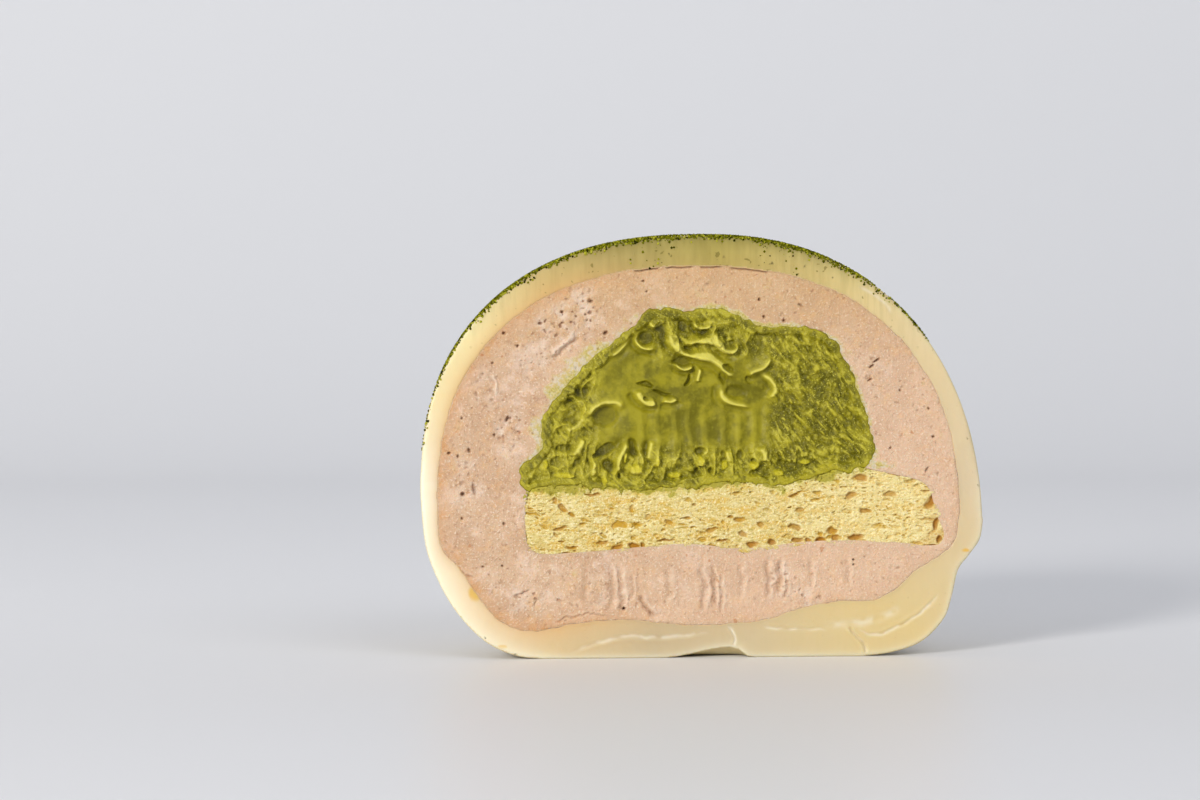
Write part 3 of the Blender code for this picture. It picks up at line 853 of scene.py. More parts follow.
# drag marks and cracks: points, width, depth of the groove, height of the lip to its left
creamDrags = [
    ([(-11.9, 12.1), (-11.4, 9.0), (-11.8, 5.6)], 0.4, 0.22, 0.12),
    ([(-10.6, 11.8), (-10.2, 8.4), (-10.1, 5.2)], 0.35, 0.26, 0.14),
    ([(-7.9, 8.0), (-7.3, 6.4), (-5.8, 4.9)], 0.34, 0.4, 0.16),
    ([(-9.1, 10.6), (-8.8, 8.6), (-8.9, 7.0)], 0.26, 0.16, 0.1),
    ([(-0.4, 11.6), (0.1, 8.6), (-0.2, 5.4)], 0.34, 0.24, 0.12),
    ([(1.0, 11.9), (1.5, 9.0), (1.1, 6.0)], 0.3, 0.3, 0.14),
    ([(2.1, 10.6), (2.2, 8.2), (2.0, 5.2)], 0.26, 0.2, 0.12),
    ([(7.8, 12.2), (8.2, 9.8), (7.9, 7.0)], 0.34, 0.3, 0.14),
    ([(9.4, 12.4), (9.6, 10.0), (9.2, 7.6)], 0.36, 0.38, 0.16),
    ([(10.2, 10.8), (10.4, 9.0), (10.0, 6.9)], 0.24, 0.2, 0.1),
    ([(-19.1, 37.2), (-17.2, 38.6), (-15.4, 40.3)], 0.3, 0.3, 0.3),
    ([(-26.4, 35.5), (-26.2, 34.0), (-25.8, 32.3)], 0.22, 0.12, 0.22),
    ([(-23.8, 7.7), (-22.6, 7.9), (-21.6, 8.8)], 0.16, 0.36, 0.05),
    ([(-21.2, 6.6), (-20.4, 7.5)], 0.14, 0.3, 0.05), ([(-18.2, 7.6), (-17.5, 7.2)], 0.14, 0.3, 0.05),
    ([(13.2, 12.4), (13.5, 10.0), (13.2, 8.6)], 0.3, 0.16, 0.1),
    ([(-31.7, 12.4), (-30.4, 11.6), (-29.6, 10.6), (-28.2, 10.0)], 0.14, 0.3, 0.1),
    ([(-18.8, 4.6), (-16.4, 5.3), (-14.0, 5.5), (-11.4, 5.4)], 0.12, 0.24, 0.06),
    ([(-33.0, 14.6), (-32.4, 13.4), (-31.9, 12.6)], 0.12, 0.2, 0.06),
    ([(4.6, 12.0), (4.8, 9.4), (4.5, 7.2)], 0.3, 0.14, 0.08),
    ([(-14.8, 11.8), (-14.6, 9.4), (-15.0, 6.4)], 0.36, 0.14, 0.08),
    ([(-4.6, 11.6), (-4.2, 9.2), (-4.5, 6.6)], 0.34, 0.14, 0.08),
    ([(18.0, 12.4), (18.2, 10.6), (17.9, 8.6)], 0.3, 0.12, 0.08),
]

# crumbly patches: middle, half sizes, tilt, how rough
creamPatches = [
    ((-17.2, 41.6), (5.4, 3.4), 40, 1.0), ((-24.2, 29.4), (1.8, 3.6), 0, 0.9),
    ((12.8, 7.6), (2.3, 1.4), 0, 0.8), ((-29.0, 22.0), (2.2, 3.6), 0, 0.5),
    ((-22.0, 7.6), (2.6, 1.6), 10, 0.7), ((-13.0, 8.0), (1.6, 3.0), 0, 0.5),
    ((-21.5, 37.2), (2.8, 3.4), -35, 0.7), ((21.4, 35.6), (2.4, 2.4), 20, 0.5),
    ((-27.0, 33.4), (2.0, 3.0), 10, 0.5), ((1.0, 8.6), (2.0, 3.2), 0, 0.5),
    ((9.0, 9.6), (2.0, 3.0), 0, 0.6),
]


def creamRelief(x, z):
    patch = np.zeros_like(x)
    for middle, size, tilt, strength in creamPatches:
        patch = np.maximum(patch, strength * dimple(x, z, middle, size, tilt, creamLook["patchSize"]))
    patch *= smoothStep(0.75 + 0.9 * cloud(x, z, 1.8, 51))
    behind = 0.12 * cloud(x, z, 6.0, 21) + 0.05 * cloud(x, z, 1.5, 22) + 0.035 * cloud(x, z, 0.7, 23, 2)
    crumbly = cloud(x, z, 0.9, 24, 3)
    behind += patch * (creamLook["crumbleDepth"] * crumbly + 0.12 * np.abs(cloud(x, z, 0.5, 25, 2)))
    # this mask marks the pores, grooves and gaps where shade is painted
    pitShade = holes(x, z, 2.6, 2.6, 0.4, 61, 0.05, 0.17) * 0.5
    pitShade = np.maximum(pitShade, holes(x, z, 1.0, 1.0, 0.35, 63, 0.1, 0.4) * 0.45)
    pitShade = np.maximum(pitShade, holes(x, z, 0.9, 0.9, 0.8, 67, 0.25, 0.7) * patch)
    behind += creamLook["poreDepth"] * pitShade
    lip = np.zeros_like(x)
    for place, size, tilt, depth in creamHoles:
        hole = dimple(x, z, place, size, tilt)
        behind += depth * hole
        pitShade = np.maximum(pitShade, hole * min(1.0, depth * 1.6))
    for points, width, depth, lipHeight in creamDrags:
        distance, along = besideLine(x, z, points, 1.6)
        distance = distance + 0.22 * grain(x, z, 0.9, 53) + 0.1 * grain(x, z, 0.35, 57)
        fade = taper(along)
        behind += depth * bell(distance / width) * fade
        raised = bell((distance - 1.7 * width) / (0.8 * width)) * fade
        behind -= lipHeight * raised
        lip = np.maximum(lip, raised * min(1.0, 4 * lipHeight))
        pitShade = np.maximum(pitShade, bell(distance / (0.5 * width)) * fade * min(1.0, 1.8 * depth) * 0.7)
    drag = smoothStep((12.5 - z) / 2.0) * smoothStep((z - 4.6) / 1.5)
    behind += 0.05 * drag * cloud(x, z, 0.8, 27, 2, 5.0)
    return behind, pitShade, patch, lip, crumbly


def creamProfile(side):
    return hollowProfile(side, creamLook["underSkin"])


def pocketProfile(side):
    profile = np.vstack([mound(side, 150), spongeEdge(side, 70)[1:]])
    return grown(profile, -creamLook["underFilling"])


def makeCream():
    columns, recess = creamLook["columns"], creamLook["recess"]
    outer = halfTurn(creamProfile, 0.0, columns, squeeze=recess + creamLook["edge"])
    pocket = halfTurn(pocketProfile, fillingShape["axisX"], columns, squeeze=recess)
    places, faces, first, outlines = joinShells([outer, pocket], creamLook["spacing"])
    x, z = places[first:, 0], places[first:, 2]
    behind, pitShade, patch, lip, crumbly = creamRelief(x, z)
    toSkin = edgeDistance(x, z, outlines[0], 2.5)
    toFilling = edgeDistance(x, z, outlines[1], 3.5)
    inner = smoothStep(np.minimum(toSkin, toFilling) / 0.4)
    gap = 0.0
    for start, end in creamGaps:
        gap = gap + smoothStep((x - start) / 0.5) * smoothStep((end - x) / 0.5) * (z > 40)
    gap = gap * bell((toSkin - 0.16) / 0.1)
    places[first:, 1] = recess + (behind + creamLook["gapDepth"] * gap) * inner
    places[first:, 1] += rounding(toSkin, creamLook["edge"])
    masks = onSheetOnly(first, {
        "pitShade": np.maximum(pitShade, gap),
        "crumbly": patch * smoothStep(0.5 + 1.2 * crumbly),
        "lip": lip,
        "nearSkin": np.exp(-toSkin / 0.9) * leftShare(x),
        "smear": smeared(x, z, toFilling),
    })
    piece = makePiece("pinkCream", places, faces, pinkCream(), masks)
    return dressed(piece, "pink_cream", "pink_cream")


def smeared(x, z, toFilling):
    # paste that the knife dragged into the cream, widest at the upper left
    upperLeft = smoothStep((-4.0 - x) / 6.0) * smoothStep((z - 26.0) / 4.0)
    smear = np.exp(-np.maximum(toFilling - 0.8, 0.0) / (0.3 + 2.0 * upperLeft))
    smear = smear * smoothStep((z - 23.0) / 1.5) * smoothStep((3.3 - toFilling) / 1.6)
    return smear * (0.4 + 0.75 * smoothStep(0.55 + 1.2 * cloud(x, z, 2.8, 146, 2)))


def pinkCream():
    finish = Finish("pink cream", {
        "Subsurface Weight": 0.3, "Subsurface Radius": (1.0, 0.5, 0.32), "Subsurface Scale": 1.6 * mm,
        "IOR": 1.4,
    })
    side, height, smear = finish.axis("X"), finish.axis("Z"), finish.mask("smear")
    blotch, middling = finish.noise(4.0), finish.noise(1.3, 3.0, 0.6)
    fine, speck = finish.noise(0.5, 3.0, 0.65), finish.noise(0.26, 2.0, 0.6)
    mottled = finish.noise(2.6, 3.0, 0.6).between(0.5, 0.66) * fine.between(0.3, 0.6)
    edgeTone = finish.blend(middling.between(0.45, 0.6), (200, 152, 108), (198, 136, 72))
    smearTone = finish.blend(fine.between(0.4, 0.6), (200, 188, 162), (194, 174, 108))
    soakedTone = finish.blend(speck.between(0.4, 0.6), (166, 152, 62), (198, 182, 110))
    patches = smear * 1.5 + (middling - 0.5) * 2.0 + (blotch - 0.5) * 1.6 - 0.4
    soaked = smear * 1.8 + (fine - 0.5) * 0.9 + (middling - 0.5) * 2.8 - 1.3
    colour = finish.layered(
        (190, 156, 125),
        (blotch.between(0.3, 0.7), (202, 171, 141)),
        (middling.between(0.48, 0.7) * 0.65, (206, 166, 120)),
        (fine.between(0.52, 0.72) * 0.75, (166, 128, 98)),
        (speck.between(0.55, 0.7) * 0.8, (226, 206, 182)),
        (mottled * side.between(16.0, -12.0) * 0.55, (224, 202, 184)),
        (height.between(34.0, 48.0) * 0.45, (192, 154, 100)),
        ((side - height).between(-34.0, 10.0) * 0.4, (226, 192, 164)),
        # orange stain along the skin, made stronger on the left by the painted glow through the wall
        (finish.mask("nearSkin") * 0.75, edgeTone),
        (patches.between(0.0, 0.6) * 0.9, smearTone),
        (soaked.between(0.0, 0.6) * 0.8, soakedTone),
        (finish.mask("crumbly") * 0.65, (218, 198, 180)),
        (finish.mask("lip") * 0.6, (219, 201, 182)),
        (finish.noise(1.1, 1.0, 0.5).between(0.75, 0.8) * 0.6, (178, 116, 64)),     # bits of fruit
        # painted shade in the pores, the drag grooves and the gaps under the skin
        (finish.mask("pitShade") * 0.75, (129, 81, 49)),
    )
    grainy = finish.bump(fine + speck * 0.8, 0.18, 0.8)
    return finish.give(colour=colour, roughness=0.5 + 0.25 * fine, normal=grainy)


makeCream()


# the green paste: soft wet facets with curls that the knife pulled up

pasteLook = {
    "spacing": 0.1,
    "sink": 0.3,                        # how far its middle height lies behind the cut
    "deepest": 0.9,
    "proud": 0.1,                       # how far its rim stands in front of the cut
    "lean": (0.3, -0.22),               # the crests lean over to the lower right
    "edge": 0.04,
    "overlap": 0.3,                     # how far it covers the cream's edge
    "edgeLumps": [(0.4, 1.5), (0.2, 0.7)],          # heights and sizes
    "footDrop": 0.35,                   # how far it hangs over the sponge
    "coreInset": 0.45,                  # from the cream, where it may sink behind the cut
    "coreLift": 0.12,                   # from the sponge
    "pitSize": 1.15,                    # the hollows' sizes are multiplied by this
    "waveLength": 2.02,                 # knife waves across the middle
    "waveHeight": 0.13,
    "dropHeight": 0.4,
    "curlHeight": 1.25,
    "curlHollow": 0.7,                  # the groove on the steep side of a curl
    "columns": 22,
}

# curls: points, height and width
pasteCurls = [
    ([(-3.1, 41.8), (-4.3, 40.4), (-3.9, 38.9), (-2.8, 37.8), (-1.1, 37.5), (0.7, 37.2), (1.9, 36.2),
      (3.0, 35.3), (4.7, 35.1)], 0.62, 0.42),
    ([(-2.8, 38.9), (-1.6, 39.3), (0.1, 39.4), (1.5, 39.0), (2.7, 38.3), (3.8, 38.4),
      (4.5, 39.7)], 0.55, 0.36), ([(1.2, 40.4), (1.5, 39.4), (1.9, 38.8)], 0.35, 0.3),
    ([(5.4, 35.1), (6.7, 35.8), (8.8, 37.5)], 0.5, 0.42),
    ([(7.0, 35.6), (8.4, 34.6), (8.8, 33.3), (7.9, 31.9)], 0.4, 0.4),
    ([(2.1, 34.2), (1.9, 32.8), (2.8, 31.9), (4.4, 31.4), (6.3, 31.3)], 0.42, 0.34),
    ([(-8.4, 41.2), (-8.4, 39.6), (-7.9, 38.8), (-6.8, 38.4), (-5.7, 38.5)], 0.48, 0.36),
    ([(-6.8, 42.0), (-6.2, 41.3), (-4.5, 41.9)], 0.34, 0.3),
    ([(-1.3, 42.0), (-0.9, 41.2), (0.2, 41.1), (1.0, 41.6)], 0.34, 0.28),
    ([(-3.9, 36.7), (-3.0, 36.1), (-2.2, 35.9), (-1.1, 36.2)], 0.45, 0.3),
    ([(-0.5, 36.2), (-0.9, 35.2), (-1.1, 34.3)], 0.4, 0.34),
    ([(-8.5, 33.5), (-8.0, 32.5), (-6.9, 31.7), (-5.9, 31.9)], 0.6, 0.4),
    ([(-5.4, 32.0), (-4.2, 31.8), (-3.5, 32.5)], 0.4, 0.34),
    ([(-14.9, 30.0), (-14.0, 31.1), (-12.6, 31.9), (-11.0, 31.7), (-10.2, 30.6)], 0.5, 0.5),
    ([(-14.4, 36.4), (-13.5, 37.3), (-11.4, 37.8), (-10.0, 38.9), (-8.4, 40.4)], 0.3, 0.4),
    ([(-15.2, 27.6), (-15.6, 26.4), (-16.5, 25.0)], 0.5, 0.36),
    ([(-9.6, 27.3), (-10.2, 25.8), (-10.8, 24.3), (-10.4, 23.0)], 0.55, 0.38),
    ([(-6.5, 27.2), (-6.6, 25.8), (-6.9, 24.4)], 0.36, 0.4), ([(3.1, 25.8), (3.1, 24.2)], 0.4, 0.3),
    ([(-0.6, 24.9), (-0.4, 23.9)], 0.45, 0.42), ([(6.8, 26.2), (7.3, 25.3), (7.2, 24.4)], 0.42, 0.4),
    ([(-9.4, 23.4), (-8.5, 23.2), (-7.7, 23.4)], 0.42, 0.36),
    ([(-13.6, 24.8), (-13.9, 23.6), (-13.7, 22.6)], 0.36, 0.34),
    ([(-14.6, 29.9), (-15.8, 28.9), (-17.6, 28.6)], 0.3, 0.4),
]

# hollows: (x, z), half sizes, tilt, depth
pastePits = [
    ((-2.8, 36.8), (1.35, 0.7), -8, 0.8), ((-7.4, 39.7), (1.0, 1.0), 0, 0.7),
    ((-2.2, 38.4), (0.8, 0.5), -20, 0.5), ((-2.5, 41.3), (0.75, 0.6), 0, 0.5),
    ((-5.7, 41.0), (0.8, 0.6), 20, 0.5), ((2.9, 36.2), (1.0, 0.5), -25, 0.6),
    ((0.4, 40.2), (0.9, 0.5), 10, 0.45), ((3.3, 39.2), (0.9, 0.55), 20, 0.5),
    ((-1.9, 34.6), (0.3, 0.85), -15, 0.8), ((-7.2, 33.8), (1.2, 0.4), -14, 0.6),
    ((-5.0, 32.8), (1.3, 0.24), -14, 0.5), ((-7.2, 32.3), (0.5, 0.3), -10, 0.4),
    ((-12.3, 30.0), (1.7, 1.5), 0, 0.6), ((-15.1, 32.9), (1.0, 0.9), 30, 0.55),
    ((-16.5, 31.6), (0.8, 0.8), 0, 0.5), ((-12.0, 26.0), (1.5, 0.6), 28, 0.8),
    ((-8.8, 26.2), (0.7, 1.3), 0, 0.6), ((-0.3, 25.8), (0.75, 0.65), 0, 0.8),
    ((-11.9, 24.0), (0.5, 1.1), 0, 0.5), ((4.6, 24.9), (0.5, 0.7), 0, 0.5),
    ((6.2, 24.4), (0.45, 0.6), 0, 0.6), ((3.8, 33.0), (1.5, 0.9), -10, 0.4),
    ((2.3, 35.0), (0.5, 0.9), 0, 0.35), ((-15.8, 24.2), (0.9, 0.5), 40, 0.6),
    ((-13.3, 25.2), (0.6, 0.4), 0, 0.6), ((9.6, 24.3), (0.4, 0.4), 0, 0.4),
    ((13.0, 38.6), (0.6, 0.4), -40, 0.5), ((13.8, 34.8), (0.9, 0.4), 10, 0.35),
    ((5.8, 34.4), (0.6, 0.5), 0, 0.4), ((-10.4, 22.8), (0.3, 0.5), 0, 0.6),
    ((1.0, 23.4), (0.4, 0.5), 0, 0.5), ((-17.5, 25.9), (0.9, 0.5), 10, 0.5),
    ((-18.4, 24.4), (0.6, 0.5), 0, 0.5), ((14.6, 27.2), (1.2, 0.6), -10, 0.3),
    ((-0.9, 23.2), (0.3, 0.5), 0, 0.5), ((11.0, 31.0), (0.9, 0.5), 0, 0.25),
]

# bright drops at the foot: (x, z), half sizes
pasteDrops = [
    ((-8.4, 23.7), (1.0, 0.6)), ((-12.4, 22.0), (0.4, 0.8)), ((-0.5, 24.6), (0.5, 0.8)),
    ((-3.5, 22.7), (1.0, 0.5)), ((6.3, 23.9), (0.6, 0.7)), ((-17.4, 22.8), (1.6, 0.4)),
    ((9.2, 23.0), (0.9, 0.5)), ((-9.8, 24.9), (0.35, 0.8)), ((2.6, 24.0), (0.4, 0.8)),
    ((12.6, 24.4), (0.9, 0.4)), ((-5.9, 24.4), (0.4, 0.7)), ((-19.6, 24.2), (0.5, 0.7)),
]


def pasteRelief(x, z):
    # how far the paste lies behind the cut, and where its crests, hollows, torn parts, drops and fibres are
    wet = smoothStep((x - 6.8) / 3.2)
    warpX, warpZ = x + 0.9 * cloud(x, z, 3.4, 71, 2), z + 0.9 * cloud(x, z, 3.4, 72, 2)
    torn = smoothStep((z - 35.5) / 4.0) * smoothStep((x + 9.0) / 4.0) + smoothStep((27.6 - z) / 3.0)
    torn = np.minimum(torn + smoothStep((-11.5 - x) / 3.5), 1.0)
    calm = (1 - torn) * (1 - wet)
    foot = smoothStep((28.4 - z) / 2.6)
    leftSide = smoothStep((-11.0 - x) / 3.5) * smoothStep((z - 25.0) / 3.0)
    curly = crests(warpX, warpZ, 2.4, 83) ** 1.3
    hanging = crests(warpX, warpZ / 2.3, 1.5, 84) ** 1.2
    slanting = crests((warpX - warpZ) * 0.7, (warpX + warpZ) * 0.35, 1.5, 86) ** 1.2
    strand = curly * (1 - foot) * (1 - leftSide) + hanging * foot + slanting * leftSide * (1 - foot)
    lump, lemon = cloud(warpX, warpZ, 1.7, 82, 3), np.zeros_like(x)
    height = 0.34 * cloud(x, z, 4.6, 81, 2) + 0.08 * calm * cloud(x, z, 1.9, 82, 1)
    height += (0.5 * strand - 0.22) * (0.1 * calm + torn * (1 - wet) + 0.2 * wet)
    height += 0.3 * lump * (torn * (1 - wet) + 0.9 * wet)
    slantX, slantZ = warpX * 0.8 + warpZ * 0.6, warpZ * 0.8 - warpX * 0.6
    fibre = 0.8 * cloud(slantX, slantZ, 0.33, 85, 2, 2.4) + 0.25 * cloud(x, z, 0.8, 86, 3)
    height += (0.1 * (1 - calm) + 0.1 * wet) * fibre
    height += (0.02 + 0.16 * (1 - calm)) * cloud(x, z, 0.5, 87, 2)
    for place, size in pasteDrops:
        drop = dimple(x + 0.2 * grain(x, z, 0.8, 89), z, place, size)
        height += pasteLook["dropHeight"] * drop
        lemon = np.maximum(lemon, drop)
    band = smoothStep((x + 8.8) / 1.5) * smoothStep((8.6 - x) / 1.5)
    band *= smoothStep((z - 24.0) / 1.6) * smoothStep((32.6 - z) / 3.4)
    wave = np.sin(2 * math.pi * (x + 0.5 * cloud(x, z, 3.4, 88, 2) + 0.4) / pasteLook["waveLength"])
    height += pasteLook["waveHeight"] * wave * band * (0.8 + 0.9 * grain(x, z, 2.4, 89))
    top = strand**2 * torn * (1 - wet) * 0.8 + 0.3 * smoothStep(wave) * band
    for points, rise, width in pasteCurls:
        distance, along = besideLine(x, z, points, 2.6)
        distance = distance + 0.2 * grain(x, z, 1.5, 91)
        fade = taper(along)
        curl = np.where(distance > 0, bell(distance / (1.7 * width)), bell(distance / (0.8 * width)))
        height += pasteLook["curlHeight"] * rise * curl * fade
        height -= pasteLook["curlHollow"] * rise * bell((distance + 2.0 * width) / (1.1 * width)) * fade
        top = np.maximum(top, bell(distance / (0.8 * width)) * fade)
    # the hollows are also painted darker as shade
    pitShade = np.zeros_like(x)
    for place, size, tilt, depth in pastePits:
        holeX, holeZ = x + 0.35 * grain(x, z, 1.2, 93), z + 0.35 * grain(x, z, 1.2, 94)
        hole = dimple(holeX, holeZ, place, size, tilt, pasteLook["pitSize"])
        height -= depth * hole
        pitShade = np.maximum(pitShade, hole * min(1.0, depth * 1.3))
    return pasteLook["sink"] - height, top, pitShade, 1 - calm, lemon, fibre


def pasteProfile(side):
    top = roughened(grown(mound(side, 260), pasteLook["overlap"]), side, 95, *pasteLook["edgeLumps"])
    foot = smoothLeg(fillingShape["spongeTop"][side], 220) - [0.0, pasteLook["footDrop"]]
    along = foot[:, 0] * (1 if side == "right" else -1) + 90
    drips = 0.42 * cloud(along, foot[:, 1], 1.1, 97, 2) - 0.7 * crests(along, 0.0 * along, 2.6, 98, 1) ** 3
    foot[:, 1] += drips * (0.4 + 0.6 * smoothStep((foot[-1, 0] - foot[:, 0]) / 2.0))
    return onAxis(np.vstack([top[:-3], foot[::-1][1:]]))


def pasteCore(side):
    # where the paste may sink behind the cream and the sponge
    foot = smoothLeg(fillingShape["spongeTop"][side], 60) + [0.0, pasteLook["coreLift"]]
    return np.vstack([grown(mound(side, 120), -pasteLook["coreInset"])[:-4], foot[::-1]])


def spongeTopHeight(x):
    right, left = (np.array(fillingShape["spongeTop"][side]) for side in ("right", "left"))
    line = np.vstack([left[::-1] * [-1, 1], right[1:]]) + [fillingShape["axisX"], 0.0]
    return np.interp(x, line[:, 0], line[:, 1])


def makePaste():
    places, faces, first, outline = fillingBody(pasteProfile, pasteLook)
    x, z = places[first:, 0], places[first:, 2]
    behind, top, pitShade, rough, lemon, fibre = pasteRelief(x, z)
    toEdge = edgeDistance(x, z, outline, 2.5)
    core = np.vstack([pasteCore("right"), pasteCore("left")[::-1] * [-1, 1]]) + [fillingShape["axisX"], 0.0]
    toCore = edgeDistance(x, z, core, 2.5) - 0.7 * np.abs(cloud(x, z, 1.4, 91, 2))
    inner = smoothStep(toCore / 0.45) * insideOutline(x, z, core)
    proud = (pasteLook["proud"] + 0.05 * cloud(x, z, 0.9, 99, 3)) * smoothStep(toEdge / 0.3)
    places[first:, 1] = np.minimum(behind, pasteLook["deepest"]) * inner - proud * (1 - inner)
    places[first:, 1] += rounding(toEdge, pasteLook["edge"])
    raised = np.clip(pasteLook["sink"] - behind, 0.0, 1.0) * inner
    places[first:, [0, 2]] += raised[:, None] * pasteLook["lean"]
    x, z = places[first:, 0], places[first:, 2]
    rough = np.maximum(rough, 1 - inner)
    above = z - spongeTopHeight(x)
    soaking = smoothStep((0.7 + 1.3 * cloud(x, z, 1.1, 100, 3) - above) / 0.9) * smoothStep((x + 6.0) / 6.0)
    masks = onSheetOnly(first, {
        # painted highlight on the crests and the proud parts
        "crestHighlight": np.maximum(top, smoothStep((0.1 - behind) / 0.5)) * inner,
        "pitShade": np.maximum(pitShade * 0.8, smoothStep((behind - 0.3) / 1.0)),
        "rough": rough,
        "lemon": lemon,
        "rim": np.maximum(np.exp(-toEdge / 0.25), soaking),
        "fibre": 0.5 + 0.8 * fibre * rough,
    })
    # the side wall of the paste gets the rim tint too, painted lighter against its shade
    masks["rim"][:first] = 1.0
    piece = makePiece("greenPaste", places, faces, greenPaste(), masks)
    return dressed(piece, "green_paste", "green_paste")


def greenPaste():
    finish = Finish("green paste, wet", {
        "Subsurface Weight": 0.4, "Subsurface Radius": (1.0, 0.9, 0.2), "Subsurface Scale": 0.9 * mm,
        "IOR": 1.42, "Specular IOR Level": 0.26,
    })
    blotch, fine = finish.noise(2.2, 3.0, 0.6), finish.noise(0.5, 3.0, 0.6)
    fleck = finish.noise(0.2, 2.0, 0.6)
    torn, fibre, crestHighlight = finish.mask("rough"), finish.mask("fibre"), finish.mask("crestHighlight")
    colour = finish.layered(
        (104, 98, 6),
        (blotch.between(0.35, 0.65), (146, 137, 24)),
        (fine.between(0.5, 0.8) * 0.4, (160, 152, 40)),
        (finish.axis("X").between(-7.0, -18.0) * 0.4, (172, 161, 50)),
        (fibre.between(0.5, 0.1) * 0.75, (86, 82, 4)),
        (fibre.between(0.56, 0.9) * 0.75, (184, 174, 56)),
        # small light flecks painted as glints, then painted highlight along the crests, brightest on their
        # tops
        (torn * fleck.between(0.58, 0.7) * 0.8, (204, 195, 78)),
        (crestHighlight * 0.7, (188, 177, 58)),
        (crestHighlight.between(0.6, 1.1) * 0.7, (216, 207, 104)),
        # painted shade in the hollows and the deepest parts
        (finish.mask("pitShade") * (0.35 + 0.45 * torn), (66, 62, 4)),
        (finish.mask("lemon") * 0.7, (190, 178, 34)),
        # paler rim and soaked edge, and the side wall painted lighter against its shade
        (finish.mask("rim") * 0.65, (174, 162, 38)),
    )
    grainy = finish.bump((fine + fleck) * torn + 0.3 * fine, 0.2, 0.7)
    return finish.give(colour=colour, roughness=0.42 + 0.15 * fine - 0.2 * torn, normal=grainy)


makePaste()


# the sponge cake: open crumb at three scales, browned underneath and at its right end

spongeLook = {
    "spacing": 0.087,
    "recess": -0.005,
    "edge": 0.12,
    "crumbDepths": (0.3, 0.2, 0.1),     # large, medium and small holes
    "holeSize": 1.3,                    # the sizes and depths of the single holes are multiplied by these
    "holeDepth": 0.9,
    "edgeLumps": [(0.26, 0.9), (0.12, 0.45)],       # heights and sizes
    "columns": 20,
}

# large holes: (x, z), half sizes, tilt, depth, how brown
spongeHoles = [
    ((-11.0, 13.85), (0.8, 0.32), 5, 0.6, 0.8), ((-8.9, 13.95), (0.6, 0.32), 0, 0.6, 0.9),
    ((-7.8, 14.1), (0.4, 0.3), 0, 0.5, 0.7), ((6.1, 14.05), (0.6, 0.35), -5, 0.6, 0.9),
    ((8.4, 14.35), (0.7, 0.38), 0, 0.7, 0.9), ((11.8, 14.65), (0.5, 0.35), 0, 0.6, 0.8),
    ((12.9, 14.6), (0.4, 0.3), 0, 0.5, 0.8), ((14.6, 14.8), (0.8, 0.38), 5, 0.7, 0.9),
    ((16.5, 14.9), (0.5, 0.35), 0, 0.6, 0.8), ((19.4, 14.95), (0.9, 0.4), 8, 0.7, 0.9),
    ((28.4, 19.3), (0.5, 0.8), -15, 0.6, 1.0), ((29.0, 16.4), (0.45, 0.8), -5, 0.6, 1.0),
    ((29.4, 14.5), (0.4, 0.5), 0, 0.6, 1.0), ((28.2, 13.7), (0.8, 0.3), 0, 0.5, 0.9),
    ((-18.5, 19.7), (0.5, 0.3), -40, 0.5, 0.5), ((-17.5, 18.7), (0.7, 0.35), -45, 0.6, 0.5),
    ((-16.6, 17.8), (0.5, 0.3), -30, 0.5, 0.4), ((11.5, 20.2), (0.7, 0.3), 10, 0.6, 0.5),
    ((18.1, 20.1), (0.8, 0.4), 15, 0.6, 0.6), ((20.2, 18.1), (0.6, 0.4), 0, 0.6, 0.6),
    ((11.9, 18.2), (0.6, 0.3), 0, 0.5, 0.4), ((4.6, 17.1), (0.6, 0.3), 10, 0.5, 0.4),
    ((6.8, 16.5), (0.5, 0.3), 0, 0.5, 0.5), ((11.5, 16.2), (0.7, 0.35), -8, 0.6, 0.5),
    ((4.9, 15.4), (0.5, 0.3), 0, 0.5, 0.5), ((16.2, 15.7), (0.6, 0.35), 0, 0.6, 0.6),
    ((19.9, 22.3), (0.9, 0.45), -15, 0.6, 0.8), ((-13.5, 20.5), (1.0, 0.16), 4, 0.5, 0.7),
    ((-17.9, 16.2), (0.9, 0.16), 6, 0.5, 0.6), ((23.5, 20.2), (0.6, 0.35), 0, 0.5, 0.5),
    ((-16.4, 13.95), (0.8, 0.2), 3, 0.5, 0.7), ((-12.8, 14.5), (0.9, 0.2), 8, 0.5, 0.6),
    ((-17.9, 14.5), (0.5, 0.14), 0, 0.5, 0.7), ((-10.5, 16.5), (1.0, 0.4), 6, 0.35, 0.2),
    ((-4.7, 14.7), (0.9, 0.12), 8, 0.5, 0.9), ((0.8, 15.9), (0.45, 0.25), 5, 0.5, 0.5),
    ((-4.3, 16.6), (0.45, 0.3), -20, 0.45, 0.3), ((-6.8, 17.5), (0.4, 0.4), 30, 0.35, 0.2),
    ((-9.0, 18.7), (0.3, 0.6), 8, 0.3, 0.3), ((-14.7, 16.7), (0.6, 0.14), 4, 0.4, 0.4),
    ((-18.5, 15.5), (0.3, 0.4), 20, 0.4, 0.3), ((-1.4, 19.1), (0.45, 0.22), 15, 0.5, 0.3),
    ((3.6, 17.5), (0.45, 0.28), -10, 0.5, 0.3), ((-2.2, 17.3), (0.45, 0.16), 0, 0.5, 0.3),
    ((2.3, 14.8), (0.55, 0.13), 5, 0.5, 0.8),
]


